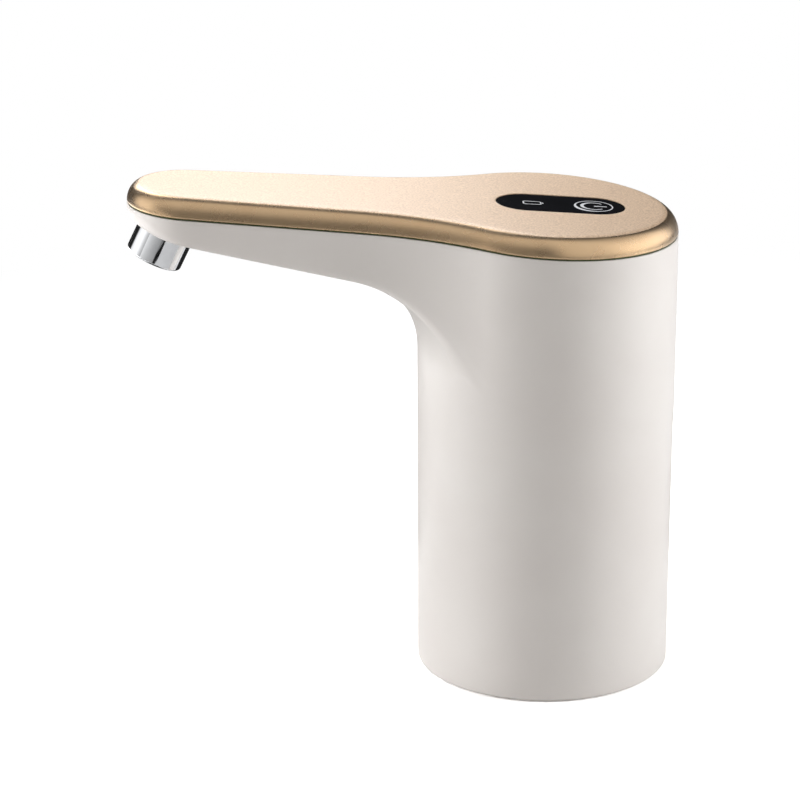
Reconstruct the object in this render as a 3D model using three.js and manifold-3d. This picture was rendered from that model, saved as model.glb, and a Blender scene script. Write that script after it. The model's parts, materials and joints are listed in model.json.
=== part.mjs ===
// Electric water jug pump: a one-piece housing with a blended spout arm, a tilted top cover, a collar that
// caps a jug neck, and the motor, diaphragm pump, battery, boards and tubes inside.
// Millimetres, +Z up. The origin is on the axis of the round body in the plane of its base rim, and the
// spout arm points towards -X.

import * as THREE from 'three';
import { mergeVertices } from 'three/addons/utils/BufferGeometryUtils.js';
import Module from 'manifold-3d';

const wasm = await Module();
wasm.setup();

// Fits
const cutOverrun = 1;
const fitGap = 0.3;
const thinGap = 0.1;

// Facet counts
const largeSteps = 24;
const roundSteps = 14;
const smallSteps = 8;
const tubeSides = 8;
const portSides = 6;
const shoeSteps = 16;
const springSides = 5;
const springSteps = 8;

// Housing outline at the seam
const headFlare = 0.5;
const tipDistance = 103.3;
const tipRadius = 18.8;
const waistRadius = 83.6;
const sideTaperDegrees = 4.09;
const tipSteps = 6;
const sideSteps = 1;
const waistSteps = 5;
const headFrontSteps = 3;
const headBackSteps = 8;

// Housing heights and walls
const coverRoom = 11.95;
const seamSlopeShare = 0.0598;
const wallThickness = 2.2;
const baseEdgeRound = 1.2;
const armDepth = 22.3;
const tipDepth = 8.02;
const blendRadius = 27;
const armEdgeRound = 2.6;
const tipEdgeRound = 7;
const blendSteps = 5;
const edgeSteps = 4;
const edgeHeightShare = 0.8;
const edgeReachShare = 0.85;

// Top cover, its seal and the touch panel
const seamGap = 0.4;
const sealInset = 0.2;
const coverHeight = 6.05;
const coverRoof = 2.2;
const coverEdgeInset = 2.5;
const coverEdgeSteps = 4;
const panelRise = 0.15;
const lipDepth = 2.4;
const lipWall = 1.2;
const panelLength = 37.5;
const panelWidth = 18;
const panelMargin = 15.65;
const panelThickness = 1;
const panelGap = 0.2;
const panelLedge = 1.6;

// Control board under the cover
const boardEndMargin = 6.25;
const boardSideMargin = 1;
const boardThickness = 1.2;
const boardDrop = 1.4;
const boardCornerRadius = 3;
const postRadius = 2.1;
const postInset = 3.4;
const boardScrewRadius = 0.8;
const boardScrewHead = 1.7;
const boardScrewHeadHeight = 1.1;
const boardScrewLength = 5;
const touchSpringRadius = 3;
const touchSpringWire = 0.35;
const touchSpringTurns = 4;

// Collar, seal and hose spigot at the jug neck
const socketRadius = 28.7;
const socketWall = 1.9;
const socketDepth = 30;
const ceilingThickness = 2.5;
const flangeRecess = 0.8;
const flangeWidth = 4.4;
const flangeThickness = 2.6;
const leadIn = 1;
const sealWall = 0.8;
const sealLength = 22;
const sealFlangeReach = 4.4;
const sealFlangeThickness = 1.4;
const sealLipReach = 0.9;
const sealLipHeight = 1.2;
const sealLipCount = 2;
const spigotFlangeRadius = 9;
const spigotFlangeThickness = 2;
const spigotNeckRadius = 4.5;
const spigotTopNeckRadius = 4;
const spigotBore = 2;
const hoseBore = 6;
const hoseBarbRise = 0.5;
const hoseBarbLength = 5;
const hoseBarbCount = 2;
const hoseStem = 16;

// Base screws and their bosses
const baseScrewCount = 4;
const baseBossSink = 0.2;
const baseScrewRadius = 1;
const baseScrewHead = 1.8;
const baseScrewHeadHeight = 1;
const baseScrewLength = 14;
const baseBossRadius = 2.2;
const baseBossHeight = 22;

// Chassis that carries the motor, battery and charging board
const chassisGap = 0.5;
const chassisFloor = 2.5;
const chassisRimWidth = 3;
const chassisScrewOffset = 18;
const chassisScrewRadius = 1.25;
const chassisScrewHead = 2.4;
const chassisScrewHeadHeight = 1.6;
const chassisBossRadius = 3;
const chassisBossHeight = 9;
const cradleWall = 1.5;
const cradleHeight = 14;
const motorSeatHeight = 5;
const motorSeatWidth = 2.7;
const wireSlotWidth = 5;
const batterySocketHeight = 12;
const batteryCradleHeight = 54;
const batteryCradleWall = 1.4;
const railWidth = 2.4;
const railHeight = 33;
const railLipShare = 0.5;

// Motor
const motorTubeGap = 0.6;
const motorRadius = 12.2;
const motorLength = 30.8;
const motorWall = 0.9;
const motorBossRadius = 3.8;
const motorBossHeight = 1.5;
const endCapThickness = 3;
const endCapFloor = 0.6;
const bushRadius = 2.9;
const bushLength = 2.2;
const shaftRadius = 1;
const shaftRise = 3.9;
const magnetThickness = 2;
const magnetEnd = 2.9;
const magnetRise = 7;
const magnetSpanDegrees = 130;
const magnetSteps = 8;
const armatureRadius = 8.6;
const armatureEnd = 6.8;
const armatureRise = 10;
const poleCount = 3;
const poleToothWidth = 3;
const poleShoeThickness = 1.3;
const poleSlotWidth = 1.6;
const armatureHubRadius = 3;
const windingRadius = 6.9;
const windingEnd = 1.4;
const commutatorLength = 3.6;
const commutatorRise = 4.2;
const terminalWidth = 2.4;
const terminalThickness = 0.5;
const terminalDrop = 4;
const terminalRise = 1.6;
const terminalOffset = 7;

// Pump head
const pumpRoom = 1.25;
const pumpWall = 1.5;
const pumpCornerRadius = 4.5;
const crankcaseHeight = 13.8;
const crankcaseFloor = 2;
const crankcaseWall = 1.3;
const pumpScrewInset = 3.2;
const pumpScrewRadius = 1.1;
const pumpScrewHead = 2;
const pumpScrewHeadHeight = 1.4;
const pumpScrewBite = 9;
const motorScrewOffset = 8;
const motorScrewRadius = 0.9;
const motorScrewHead = 1.8;
const motorScrewHeadHeight = 1.2;
const motorScrewBite = 1.6;
const wobbleTiltDegrees = 7;
const wobbleHeight = 10.8;
const crankRadius = 4.8;
const crankRise = 2.4;
const crankTop = 6.2;
const crankPinRadius = 1;
const crankPinFoot = 6.5;
const crankPinTip = 0.2;
const wobbleThickness = 1.8;
const wobbleHubRadius = 3;
const wobbleHubDrop = 3.8;
const wobbleBoreRoof = 0.7;
const chamberCount = 3;
const chamberCircle = 8;
const wobbleArmRadius = 3;
const carrierThickness = 3;
const carrierBore = 4;
const diaphragmThickness = 1;
const cupRadius = 3.6;
const cupWall = 0.8;
const pegRadius = 1;
const pegHole = 1.4;
const valvePlateThickness = 3;
const valvePocketRadius = 3.4;
const valvePocketDepth = 1.2;
const umbrellaRadius = 2.4;
const umbrellaThickness = 0.6;
const umbrellaStemRadius = 0.6;
const umbrellaKnobRadius = 0.9;
const umbrellaKnobHeight = 0.8;
const inletPortRadius = 0.5;
const inletPortCircle = 1.6;
const outletPortInset = 0.7;
const outletPortRadius = 0.5;
const outletValveGap = 0.6;
const pumpCapHeight = 8;
const plenumDepth = 3;
const plenumReach = 1;
const plenumWall = 0.7;
const galleryWidth = 3;
const galleryHeight = 2;
const galleryRoof = 0.6;
const nippleOffset = 4.6;
const nippleRadius = 2.5;
const nippleBore = 1.5;
const nippleLength = 9;

// Tubes
const tubeRadius = 4;
const tubeBore = 2.8;
const tubeRise = 10.4;
const outletBendRadius = 16;
const bendSteps = 5;

// Battery, charging board and socket
const batteryTubeGap = 2.1;
const batteryRadius = 9.2;
const batteryLength = 65;
const batteryNubRadius = 3;
const batteryNubHeight = 0.8;
const batteryEdge = 0.6;
const chargeBoardWidth = 18.4;
const chargeBoardHeight = 35;
const chargeBoardThickness = 1.2;
const chargeBoardGap = 1.6;
const usbRise = 23;
const usbRecess = 1.4;
const usbWidth = 8.9;
const usbDepth = 3.2;
const usbCornerRadius = 1.4;
const usbLength = 5.6;
const usbShell = 0.35;
const usbBack = 1;
const usbTongueWidth = 6.4;
const usbTongueThickness = 0.8;
const usbTongueInset = 0.7;
const usbSlotGap = 0.4;

// Spout nozzle
const nozzleTiltDegrees = 25.5;
const nozzleLead = 11.5;
const nozzleDrop = 10.38;
const sleeveRadius = 8.4;
const sleeveWall = 1.1;
const sleeveLength = 11.6;
const sleeveEdge = 0.7;
const sleeveLip = 0.8;
const sleeveLipHeight = 0.9;
const nozzleBossWall = 1.6;
const nozzleBossFoot = 4;
const ledgeThickness = 1.4;
const ledgeWidth = 1.2;
const fittingFlangeThickness = 1.8;
const fittingFlangeRim = 1.3;
const fittingWall = 1.2;
const fittingDomeRadius = 5;
const fittingDomeHeight = 5.2;
const fittingDomeWall = 1.2;
const portLength = 15;
const portClear = 2.5;
const aeratorThickness = 2.2;
const aeratorHoleRadius = 0.8;
const aeratorRows = 2;
const aeratorRowPitch = 2.5;

// Plan sizes, worked out from what stands beside and inside each other
const motorCupRadius = motorRadius + fitGap + cradleWall;
const batteryCupRadius = batteryRadius + fitGap + batteryCradleWall;
const pumpWidth = (chamberCircle + carrierBore + pumpWall) * 2;
const motorOffset = tubeRadius + motorTubeGap + Math.max(motorCupRadius, pumpWidth / 2);
const batteryOffset = tubeRadius + batteryTubeGap + batteryCupRadius;
const pumpCorner = pumpWidth / 2 - pumpCornerRadius;
const pumpReach = Math.hypot(motorOffset + pumpCorner, pumpCorner) + pumpCornerRadius;
const socketReach = socketRadius + socketWall + flangeWidth;
const cavityRadius = Math.max(socketReach + fitGap, pumpReach + pumpRoom + chassisGap);
const baseRadius = cavityRadius + wallThickness;
const headRadius = baseRadius + headFlare;
const flangeRadius = cavityRadius - fitGap;
const chassisRadius = cavityRadius - chassisGap;
const baseScrewCircle = cavityRadius - baseBossRadius + baseBossSink;
const panelCentre = headRadius - panelMargin - panelLength / 2;
const boardLength = panelLength + boardEndMargin * 2;
const boardWidth = panelWidth + boardSideMargin * 2;
const nozzleReach = tipDistance + nozzleLead;
const pumpScrewOffset = pumpWidth / 2 - pumpScrewInset;
const crankcaseBore = pumpWidth / 2 - crankcaseWall;
const inletPlenumInner = chamberCircle - plenumReach;
const inletPlenumOuter = pumpWidth / 2 - pumpWall;
const outletPlenumRadius = inletPlenumInner - plenumWall;
const outletValveRadius = outletPlenumRadius - outletValveGap;
const outletPortCircle = outletValveRadius - outletPortInset;

// Lengths inside the motor
const magnetLength = motorLength - motorWall - magnetRise - magnetEnd;
const armatureLength = motorLength - armatureRise - armatureEnd;

// Heights, worked out from the stack above the jug neck
const ceilingTop = socketDepth + ceilingThickness;
const chassisBottom = ceilingTop + spigotFlangeThickness;
const chassisTop = chassisBottom + chassisFloor;
const motorFoot = chassisTop + motorSeatHeight;
const pumpFoot = motorFoot + motorLength;
const carrierBottom = crankcaseHeight;
const carrierTop = carrierBottom + carrierThickness;
const diaphragmTop = carrierTop + diaphragmThickness;
const valvePlateTop = diaphragmTop + valvePlateThickness;
const pumpTop = valvePlateTop + pumpCapHeight;
const pumpCapTop = pumpFoot + pumpTop;
const bendHeight = pumpCapTop + tubeRise;
const inletBendRadius = (motorOffset - nippleOffset) / 2;
const seamHeight = bendHeight + inletBendRadius + tubeRadius + coverRoom;
const armHeight = seamHeight - armDepth;
const armSlopeShare = seamSlopeShare + (armDepth - tipDepth) / tipDistance;
const flangeTop = flangeRecess + flangeThickness;
const usbHeight = chassisTop + usbRise;
const nozzleHeight = armHeight + armSlopeShare * nozzleReach - nozzleDrop;

// Materials
function material(color, roughness, metalness) {
  return new THREE.MeshStandardMaterial({ color, roughness, metalness });
}
const whitePlastic = material(0xefece6, 0.35, 0);
const goldPaint = material(0xcaa67c, 0.38, 0.75);
const blackGlass = material(0x14161a, 0.08, 0);
const darkRubber = material(0x3c4028, 0.7, 0);
const clearSilicone = material(0xd9dcdc, 0.45, 0);
const greyPlastic = material(0x55585c, 0.5, 0);
const chrome = material(0xd8dadc, 0.06, 1);
const steel = material(0x9da1a6, 0.3, 1);
const zincPlate = material(0xb4b7b9, 0.35, 0.9);
const brass = material(0xb98f4a, 0.35, 1);
const copper = material(0xb0632f, 0.35, 1);
const ferrite = material(0x2c2c2e, 0.75, 0);
const boardGreen = material(0x1f5a36, 0.5, 0);
const blackNylon = material(0x1e1f20, 0.5, 0);
const whiteNylon = material(0xe4e2dc, 0.45, 0);
const blueWrap = material(0x2f62a8, 0.35, 0);

// Solids

function solid(geometry) {
  const plain = new THREE.BufferGeometry();
  plain.setAttribute('position', geometry.getAttribute('position').clone());
  if (geometry.index) {
    plain.setIndex(geometry.index.clone());
  }
  const merged = mergeVertices(plain);
  const place = merged.getAttribute('position');
  const corners = [];
  let volume = 0;
  const [a, b, c] = [new THREE.Vector3(), new THREE.Vector3(), new THREE.Vector3()];
  for (let i = 0; i < merged.index.count; i += 3) {
    const [p, q, r] = [merged.index.getX(i), merged.index.getX(i + 1), merged.index.getX(i + 2)];
    if (p === q || q === r || r === p) {
      continue;
    }
    a.fromBufferAttribute(place, p);
    b.fromBufferAttribute(place, q);
    c.fromBufferAttribute(place, r);
    volume += a.dot(b.cross(c));
    corners.push([p, q, r]);
  }
  const outward = corners.map(([p, q, r]) => (volume < 0 ? [p, r, q] : [p, q, r]));
  return new wasm.Manifold(new wasm.Mesh({
    numProp: 3,
    vertProperties: Float32Array.from(place.array),
    triVerts: Uint32Array.from(outward.flat()),
  }));
}

function geometryOf(body) {
  const mesh = body.getMesh();
  const geometry = new THREE.BufferGeometry();
  geometry.setAttribute('position', new THREE.BufferAttribute(mesh.vertProperties, 3));
  geometry.setIndex(new THREE.BufferAttribute(mesh.triVerts, 1));
  geometry.computeVertexNormals();
  return geometry;
}

function union(bodies) {
  return bodies.reduce((whole, body) => whole.add(body));
}

function cut(body, cutters) {
  return cutters.reduce((rest, cutter) => rest.subtract(cutter), body);
}

function placed(geometry, x, y, z) {
  return geometry.translate(x, y, z);
}

function turnedGeometry(profile, steps) {
  const points = profile.map(([radius, height]) => new THREE.Vector2(radius, height));
  return new THREE.LatheGeometry(points, steps).rotateX(Math.PI / 2);
}

function turnedSolid(profile, steps) {
  return solid(turnedGeometry(profile, steps));
}

function rodGeometry(radius, bottom, top, steps) {
  return turnedGeometry([[0, bottom], [radius, bottom], [radius, top], [0, top]], steps);
}

function rod(radius, bottom, top, steps, x = 0, y = 0) {
  return solid(placed(rodGeometry(radius, bottom, top, steps), x, y, 0));
}

// A hole's facets lie outside its round, so that a round pin of that radius less its gap always fits.
function boreGeometry(radius, bottom, top, steps) {
  return rodGeometry(radius / Math.cos(Math.PI / steps), bottom, top, steps);
}

function bore(radius, bottom, top, steps, x = 0, y = 0) {
  return solid(placed(boreGeometry(radius, bottom, top, steps), x, y, 0));
}

function sleeveGeometry(outer, inner, bottom, top, steps) {
  return turnedGeometry([[inner, bottom], [outer, bottom], [outer, top], [inner, top], [inner, bottom]], steps);
}

function box(x0, x1, y0, y1, z0, z1) {
  const geometry = new THREE.BoxGeometry(x1 - x0, y1 - y0, z1 - z0);
  return solid(placed(geometry, (x0 + x1) / 2, (y0 + y1) / 2, (z0 + z1) / 2));
}

function roundedRectangle(length, width, radius) {
  const [x, y] = [length / 2 - radius, width / 2 - radius];
  const shape = new THREE.Shape();
  shape.absarc(x, y, radius, 0, Math.PI / 2);
  shape.absarc(-x, y, radius, Math.PI / 2, Math.PI);
  shape.absarc(-x, -y, radius, Math.PI, Math.PI * 1.5);
  shape.absarc(x, -y, radius, Math.PI * 1.5, Math.PI * 2);
  return shape;
}

function prismGeometry(shape, bottom, top, curveSegments = 5) {
  const settings = { depth: top - bottom, bevelEnabled: false, curveSegments };
  return placed(new THREE.ExtrudeGeometry(shape, settings), 0, 0, bottom);
}

function prism(shape, bottom, top, curveSegments) {
  return solid(prismGeometry(shape, bottom, top, curveSegments));
}

// A skin over rings of equally many points, capped at both ends, or closed on itself like a torus.
function loft(rings, closed = false) {
  const count = rings[0].length;
  const positions = rings.flat().flatMap((p) => [p.x, p.y, p.z]);
  const triangles = [];
  const bands = closed ? rings.length : rings.length - 1;
  for (let i = 0; i < bands; i += 1) {
    const [low, high] = [i * count, ((i + 1) % rings.length) * count];
    for (let j = 0; j < count; j += 1) {
      const k = (j + 1) % count;
      triangles.push(low + j, low + k, high + k, low + j, high + k, high + j);
    }
  }
  if (!closed) {
    const last = (rings.length - 1) * count;
    const cap = (ring) => THREE.ShapeUtils.triangulateShape(ring.map((p) => new THREE.Vector2(p.x, p.y)), []);
    cap(rings[0]).forEach(([p, q, r]) => triangles.push(p, r, q));
    cap(rings[rings.length - 1]).forEach(([p, q, r]) => triangles.push(last + p, last + q, last + r));
  }
  const geometry = new THREE.BufferGeometry();
  geometry.setAttribute('position', new THREE.Float32BufferAttribute(positions, 3));
  geometry.setIndex(triangles);
  return geometry;
}

// Teardrop outline: tip arc, tapering side, hollow waist and head arc, mirrored in Y.
function outline(inset) {
  const [head, tip, waist] = [headRadius - inset, tipRadius - inset, waistRadius + inset];
  const taper = THREE.MathUtils.degToRad(sideTaperDegrees);
  const normal = new THREE.Vector2(-Math.sin(taper), -Math.cos(taper));
  const along = new THREE.Vector2(Math.cos(taper), -Math.sin(taper));
  const tipCentre = new THREE.Vector2(-tipDistance, 0);
  const sideStart = tipCentre.clone().addScaledVector(normal, tip);
  const reach = sideStart.clone().addScaledVector(normal, waist);
  const shift = reach.dot(along);
  const run = -shift - Math.sqrt(shift * shift - reach.lengthSq() + (head + waist) ** 2);
  const sideEnd = sideStart.clone().addScaledVector(along, run);
  const waistCentre = reach.clone().addScaledVector(along, run);
  const half = [];
  const arc = (centre, radius, from, to, steps) => {
    for (let i = 0; i < steps; i += 1) {
      const angle = from + ((to - from) * i) / steps;
      half.push(new THREE.Vector2(centre.x + radius * Math.cos(angle), centre.y + radius * Math.sin(angle)));
    }
  };
  arc(tipCentre, tip, Math.PI, 1.5 * Math.PI - taper, tipSteps);
  for (let i = 0; i < sideSteps; i += 1) {
    half.push(sideStart.clone().lerp(sideEnd, i / sideSteps));
  }
  const waistEnd = waistCentre.clone().negate().angle();
  arc(waistCentre, waist, 0.5 * Math.PI - taper, waistEnd, waistSteps);
  arc(new THREE.Vector2(0, 0), head, waistCentre.angle(), 1.5 * Math.PI, headFrontSteps);
  arc(new THREE.Vector2(0, 0), head, 1.5 * Math.PI, 2 * Math.PI, headBackSteps);
  const mirrored = half.slice(1).reverse().map((p) => new THREE.Vector2(p.x, -p.y));
  return [...half, new THREE.Vector2(head, 0), ...mirrored];
}

function seamAt(x) {
  return seamHeight - seamSlopeShare * x;
}

function bodyRadius(height) {
  return baseRadius + ((headRadius - baseRadius) * height) / seamHeight;
}

// One spoke of the housing, from the base up the round wall, round the blend, along the arm's underside and
// up its side wall to the seam.
function spoke(point, inset, bottom, lift, edge) {
  const reach = point.length();
  const slope = (-armSlopeShare * point.x) / reach;
  const lean = Math.hypot(1, slope);
  const wall = bodyRadius(armHeight) - inset;
  const blend = blendRadius + inset;
  const centre = wall + blend;
  const centreHeight = armHeight + slope * centre - blendRadius * lean;
  const tangent = centre - (blend * slope) / lean;
  const floorHeight = (r) => armHeight + inset * lean + slope * r;
  const arcHeight = (r) => centreHeight + Math.sqrt(Math.max(blend * blend - (centre - r) ** 2, 0));
  const under = (r) => (r > tangent ? floorHeight(r) : arcHeight(Math.max(r, wall)));
  const top = seamAt(point.x) + lift;
  const past = Math.max((-point.x - tipDistance) / tipRadius, 0);
  const round = armEdgeRound + (tipEdgeRound - armEdgeRound) * Math.min(past, 1) ** 2;
  const room = Math.max(reach - wall, 0);
  const edgeReach = Math.min(round, room * edgeReachShare);
  const edgeRise = Math.min(round, (seamAt(point.x) - under(reach)) * edgeHeightShare);
  const start = reach - edgeReach;
  const places = [];
  if (edge > 0) {
    places.push([bodyRadius(0) - inset - edge, bottom]);
    places.push([bodyRadius(0) - inset - edge * (1 - Math.SQRT1_2), bottom + edge * (1 - Math.SQRT1_2)]);
  }
  places.push([bodyRadius(0) - inset, bottom + edge]);
  const onHead = reach < headRadius - inset + thinGap;
  const bendEnd = Math.min(start, tangent);
  const turn = Math.acos(THREE.MathUtils.clamp((centre - bendEnd) / blend, -1, 1));
  for (let i = 0; i <= blendSteps; i += 1) {
    const angle = (turn * i) / blendSteps;
    const bent = [centre - blend * Math.cos(angle), centreHeight + blend * Math.sin(angle)];
    places.push(onHead ? [reach, top] : bent);
  }
  const corner = [reach, under(reach)];
  for (let i = 0; i <= edgeSteps; i += 1) {
    const t = i / edgeSteps;
    const [a, b, c] = [(1 - t) ** 2, 2 * t * (1 - t), t ** 2];
    const bevel = [
      a * start + b * corner[0] + c * reach,
      a * under(start) + b * corner[1] + c * (corner[1] + edgeRise),
    ];
    places.push(onHead ? [reach, top] : bevel);
  }
  places.push([reach, top]);
  const unit = point.clone().normalize();
  return places.map(([r, z]) => new THREE.Vector3(unit.x * r, unit.y * r, z));
}

function housingForm(inset, bottom, lift, edge) {
  const spokes = outline(inset).map((point) => spoke(point, inset, bottom, lift, edge));
  const rings = spokes[0].map((_, row) => spokes.map((line) => line[row]));
  return solid(loft(rings));
}

// Nozzle frame: local +Z runs up the nozzle's axis from the middle of its mouth.
const nozzleTilt = THREE.MathUtils.degToRad(nozzleTiltDegrees);
const nozzleFrame = new THREE.Matrix4().makeRotationY(nozzleTilt);
nozzleFrame.setPosition(-nozzleReach, 0, nozzleHeight);

function inNozzleFrame(geometry) {
  return solid(geometry.applyMatrix4(nozzleFrame));
}

// Places in the housing's wall
const chargeBoardPlace = bodyRadius(usbHeight) - usbRecess - usbLength - chargeBoardThickness;
const sleeveBore = sleeveRadius - sleeveWall;
const ledgeHole = sleeveBore - ledgeWidth + fitGap * 2;
const ledgeBottom = sleeveLength + fitGap;
const ledgeTop = ledgeBottom + ledgeThickness;
const nozzleHole = sleeveRadius + fitGap;
const fittingFlangeRadius = ledgeHole - fitGap + fittingFlangeRim;

function screwPlaces(count, circle) {
  return Array.from({ length: count }, (_, i) => {
    const angle = ((i + 0.5) * 2 * Math.PI) / count;
    return [circle * Math.cos(angle), circle * Math.sin(angle)];
  });
}

// Housing: the outer form less the same form one wall further in, with bosses, nozzle seat and socket slot.
function mainHousing() {
  const outer = housingForm(0, 0, 0, baseEdgeRound);
  const cavity = housingForm(wallThickness, -cutOverrun, cutOverrun, 0);
  const bossBottom = flangeTop + thinGap;
  const bosses = screwPlaces(baseScrewCount, baseScrewCircle).map(([x, y]) => (
    rod(baseBossRadius, bossBottom, bossBottom + baseBossHeight, smallSteps, x, y).intersect(outer)
  ));
  const pilots = screwPlaces(baseScrewCount, baseScrewCircle).map(([x, y]) => (
    bore(baseScrewRadius + fitGap, bossBottom - cutOverrun, bossBottom + baseScrewLength, smallSteps, x, y)
  ));
  const bossRadius = nozzleHole + nozzleBossWall;
  const nozzleBoss = inNozzleFrame(rodGeometry(bossRadius, nozzleBossFoot, ledgeTop, roundSteps));
  const nozzleBore = inNozzleFrame(boreGeometry(nozzleHole, -sleeveLength, ledgeBottom, roundSteps));
  const ledgeBore = inNozzleFrame(boreGeometry(ledgeHole, 0, ledgeTop + cutOverrun, roundSteps));
  const flangeHole = fittingFlangeRadius + fitGap;
  const flangeBore = inNozzleFrame(boreGeometry(flangeHole, ledgeTop, ledgeTop * 2, roundSteps));
  const slotShape = roundedRectangle(
    usbWidth + usbSlotGap * 2,
    usbDepth + usbSlotGap * 2,
    usbCornerRadius + usbSlotGap,
  );
  const slotGeometry = prismGeometry(slotShape, headRadius - wallThickness * 2, headRadius + cutOverrun, 4);
  slotGeometry.rotateZ(Math.PI / 2).rotateY(Math.PI / 2);
  const slot = solid(placed(slotGeometry, 0, 0, usbHeight));
  const shell = union([outer.subtract(cavity), ...bosses, nozzleBoss.intersect(outer)]);
  return cut(shell, [...pilots, nozzleBore, ledgeBore, flangeBore, slot]);
}

// Cover pieces are drawn on a level seam and then sheared onto its slope, so that their sides stay upright.
const seamShear = new THREE.Matrix4().makeShear(0, -seamSlopeShare, 0, 0, 0, 0);

function onSeam(body) {
  return solid(geometryOf(body).applyMatrix4(seamShear));
}

function ring(inset, height) {
  return outline(inset).map((p) => new THREE.Vector3(p.x, p.y, height));
}

const coverTop = seamGap + coverHeight;
const roofBottom = coverTop - coverRoof;
const boardTop = -boardDrop;
const boardBottom = boardTop - boardThickness;

function stadium(inset) {
  const width = panelWidth - inset * 2;
  return roundedRectangle(panelLength - inset * 2, width, width / 2);
}

function panelPrism(inset, bottom, top) {
  return solid(placed(prismGeometry(stadium(inset), bottom, top, 8), panelCentre, 0, 0));
}

function postPlaces() {
  const half = boardLength / 2 - postInset;
  return [panelCentre - half, panelCentre + half];
}

function topCover() {
  const rounding = Array.from({ length: coverEdgeSteps + 1 }, (_, i) => {
    const angle = (Math.PI / 2) * (i / coverEdgeSteps);
    return ring(coverEdgeInset * (1 - Math.cos(angle)), seamGap + coverHeight * Math.sin(angle));
  });
  const shell = solid(loft(rounding));
  const lipOut = wallThickness + fitGap;
  const lipIn = lipOut + lipWall;
  const hollowInset = lipOut + lipWall / 2;
  const hollow = solid(loft([ring(hollowInset, seamGap - cutOverrun), ring(hollowInset, roofBottom)]));
  const lip = solid(loft([ring(lipOut, -lipDepth), ring(lipOut, roofBottom)]));
  const lipHollow = solid(loft([ring(lipIn, -lipDepth - cutOverrun), ring(lipIn, roofBottom)]));
  const lipEnd = box(-tipDistance * 2, -tipDistance, -headRadius, headRadius, -lipDepth * 2, 0);
  const posts = postPlaces().map((x) => rod(postRadius, boardTop, roofBottom + cutOverrun, smallSteps, x));
  const pilots = postPlaces().map((x) => (
    bore(boardScrewRadius + fitGap, boardTop - cutOverrun, boardBottom + boardScrewLength, smallSteps, x)
  ));
  const pocket = panelPrism(-panelGap, coverTop + panelRise - panelThickness - fitGap, coverTop + cutOverrun);
  const window = panelPrism(panelLedge, roofBottom - cutOverrun, coverTop);
  const body = union([shell.subtract(hollow), lip.subtract(lipHollow).subtract(lipEnd), ...posts]);
  return onSeam(cut(body, [...pilots, pocket, window]));
}

function coverSeal() {
  const outer = solid(loft([ring(sealInset, thinGap), ring(sealInset, seamGap - thinGap)]));
  const inner = solid(loft([ring(wallThickness, -cutOverrun), ring(wallThickness, cutOverrun)]));
  return onSeam(outer.subtract(inner));
}

function touchPanel() {
  return onSeam(panelPrism(0, coverTop + panelRise - panelThickness, coverTop + panelRise));
}

function controlBoard() {
  const shape = roundedRectangle(boardLength, boardWidth, boardCornerRadius);
  const board = solid(placed(prismGeometry(shape, boardBottom, boardTop - thinGap), panelCentre, 0, 0));
  const holes = postPlaces().map((x) => (
    bore(boardScrewRadius + fitGap, boardBottom - cutOverrun, boardTop + cutOverrun, smallSteps, x)
  ));
  return onSeam(cut(board, holes));
}

function boardScrew(x) {
  const headTop = boardBottom - thinGap;
  const profile = [
    [0, headTop - boardScrewHeadHeight],
    [boardScrewHead, headTop - boardScrewHeadHeight],
    [boardScrewHead, headTop],
    [boardScrewRadius, headTop],
    [boardScrewRadius, headTop + boardScrewLength - fitGap],
    [0, headTop + boardScrewLength - fitGap],
  ];
  return onSeam(solid(placed(turnedGeometry(profile, smallSteps), x, 0, 0)));
}

// Contact spring between the board and the panel
function touchSpring() {
  const bottom = boardTop + touchSpringWire + thinGap;
  const top = coverTop + panelRise - panelThickness - touchSpringWire - thinGap;
  const stations = [];
  const steps = touchSpringTurns * springSteps;
  for (let i = 0; i <= steps; i += 1) {
    const angle = (2 * Math.PI * touchSpringTurns * i) / steps;
    const height = bottom + ((top - bottom) * i) / steps;
    const out = new THREE.Vector3(Math.cos(angle), Math.sin(angle), 0);
    stations.push(Array.from({ length: springSides }, (_, k) => {
      const turn = (2 * Math.PI * k) / springSides;
      const point = out.clone().multiplyScalar(touchSpringRadius + touchSpringWire * Math.cos(turn));
      return point.setZ(height + touchSpringWire * Math.sin(turn));
    }));
  }
  const positions = stations.flat().flatMap((p) => [p.x + panelCentre + panelLength / 4, p.y, p.z]);
  const triangles = [];
  for (let i = 0; i < steps; i += 1) {
    for (let j = 0; j < springSides; j += 1) {
      const [a, b] = [i * springSides + j, i * springSides + ((j + 1) % springSides)];
      triangles.push(a, b, b + springSides, a, b + springSides, a + springSides);
    }
  }
  const last = steps * springSides;
  for (let j = 1; j < springSides - 1; j += 1) {
    triangles.push(0, j + 1, j, last, last + j, last + j + 1);
  }
  const geometry = new THREE.BufferGeometry();
  geometry.setAttribute('position', new THREE.Float32BufferAttribute(positions, 3));
  geometry.setIndex(triangles);
  return onSeam(solid(geometry));
}

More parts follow.
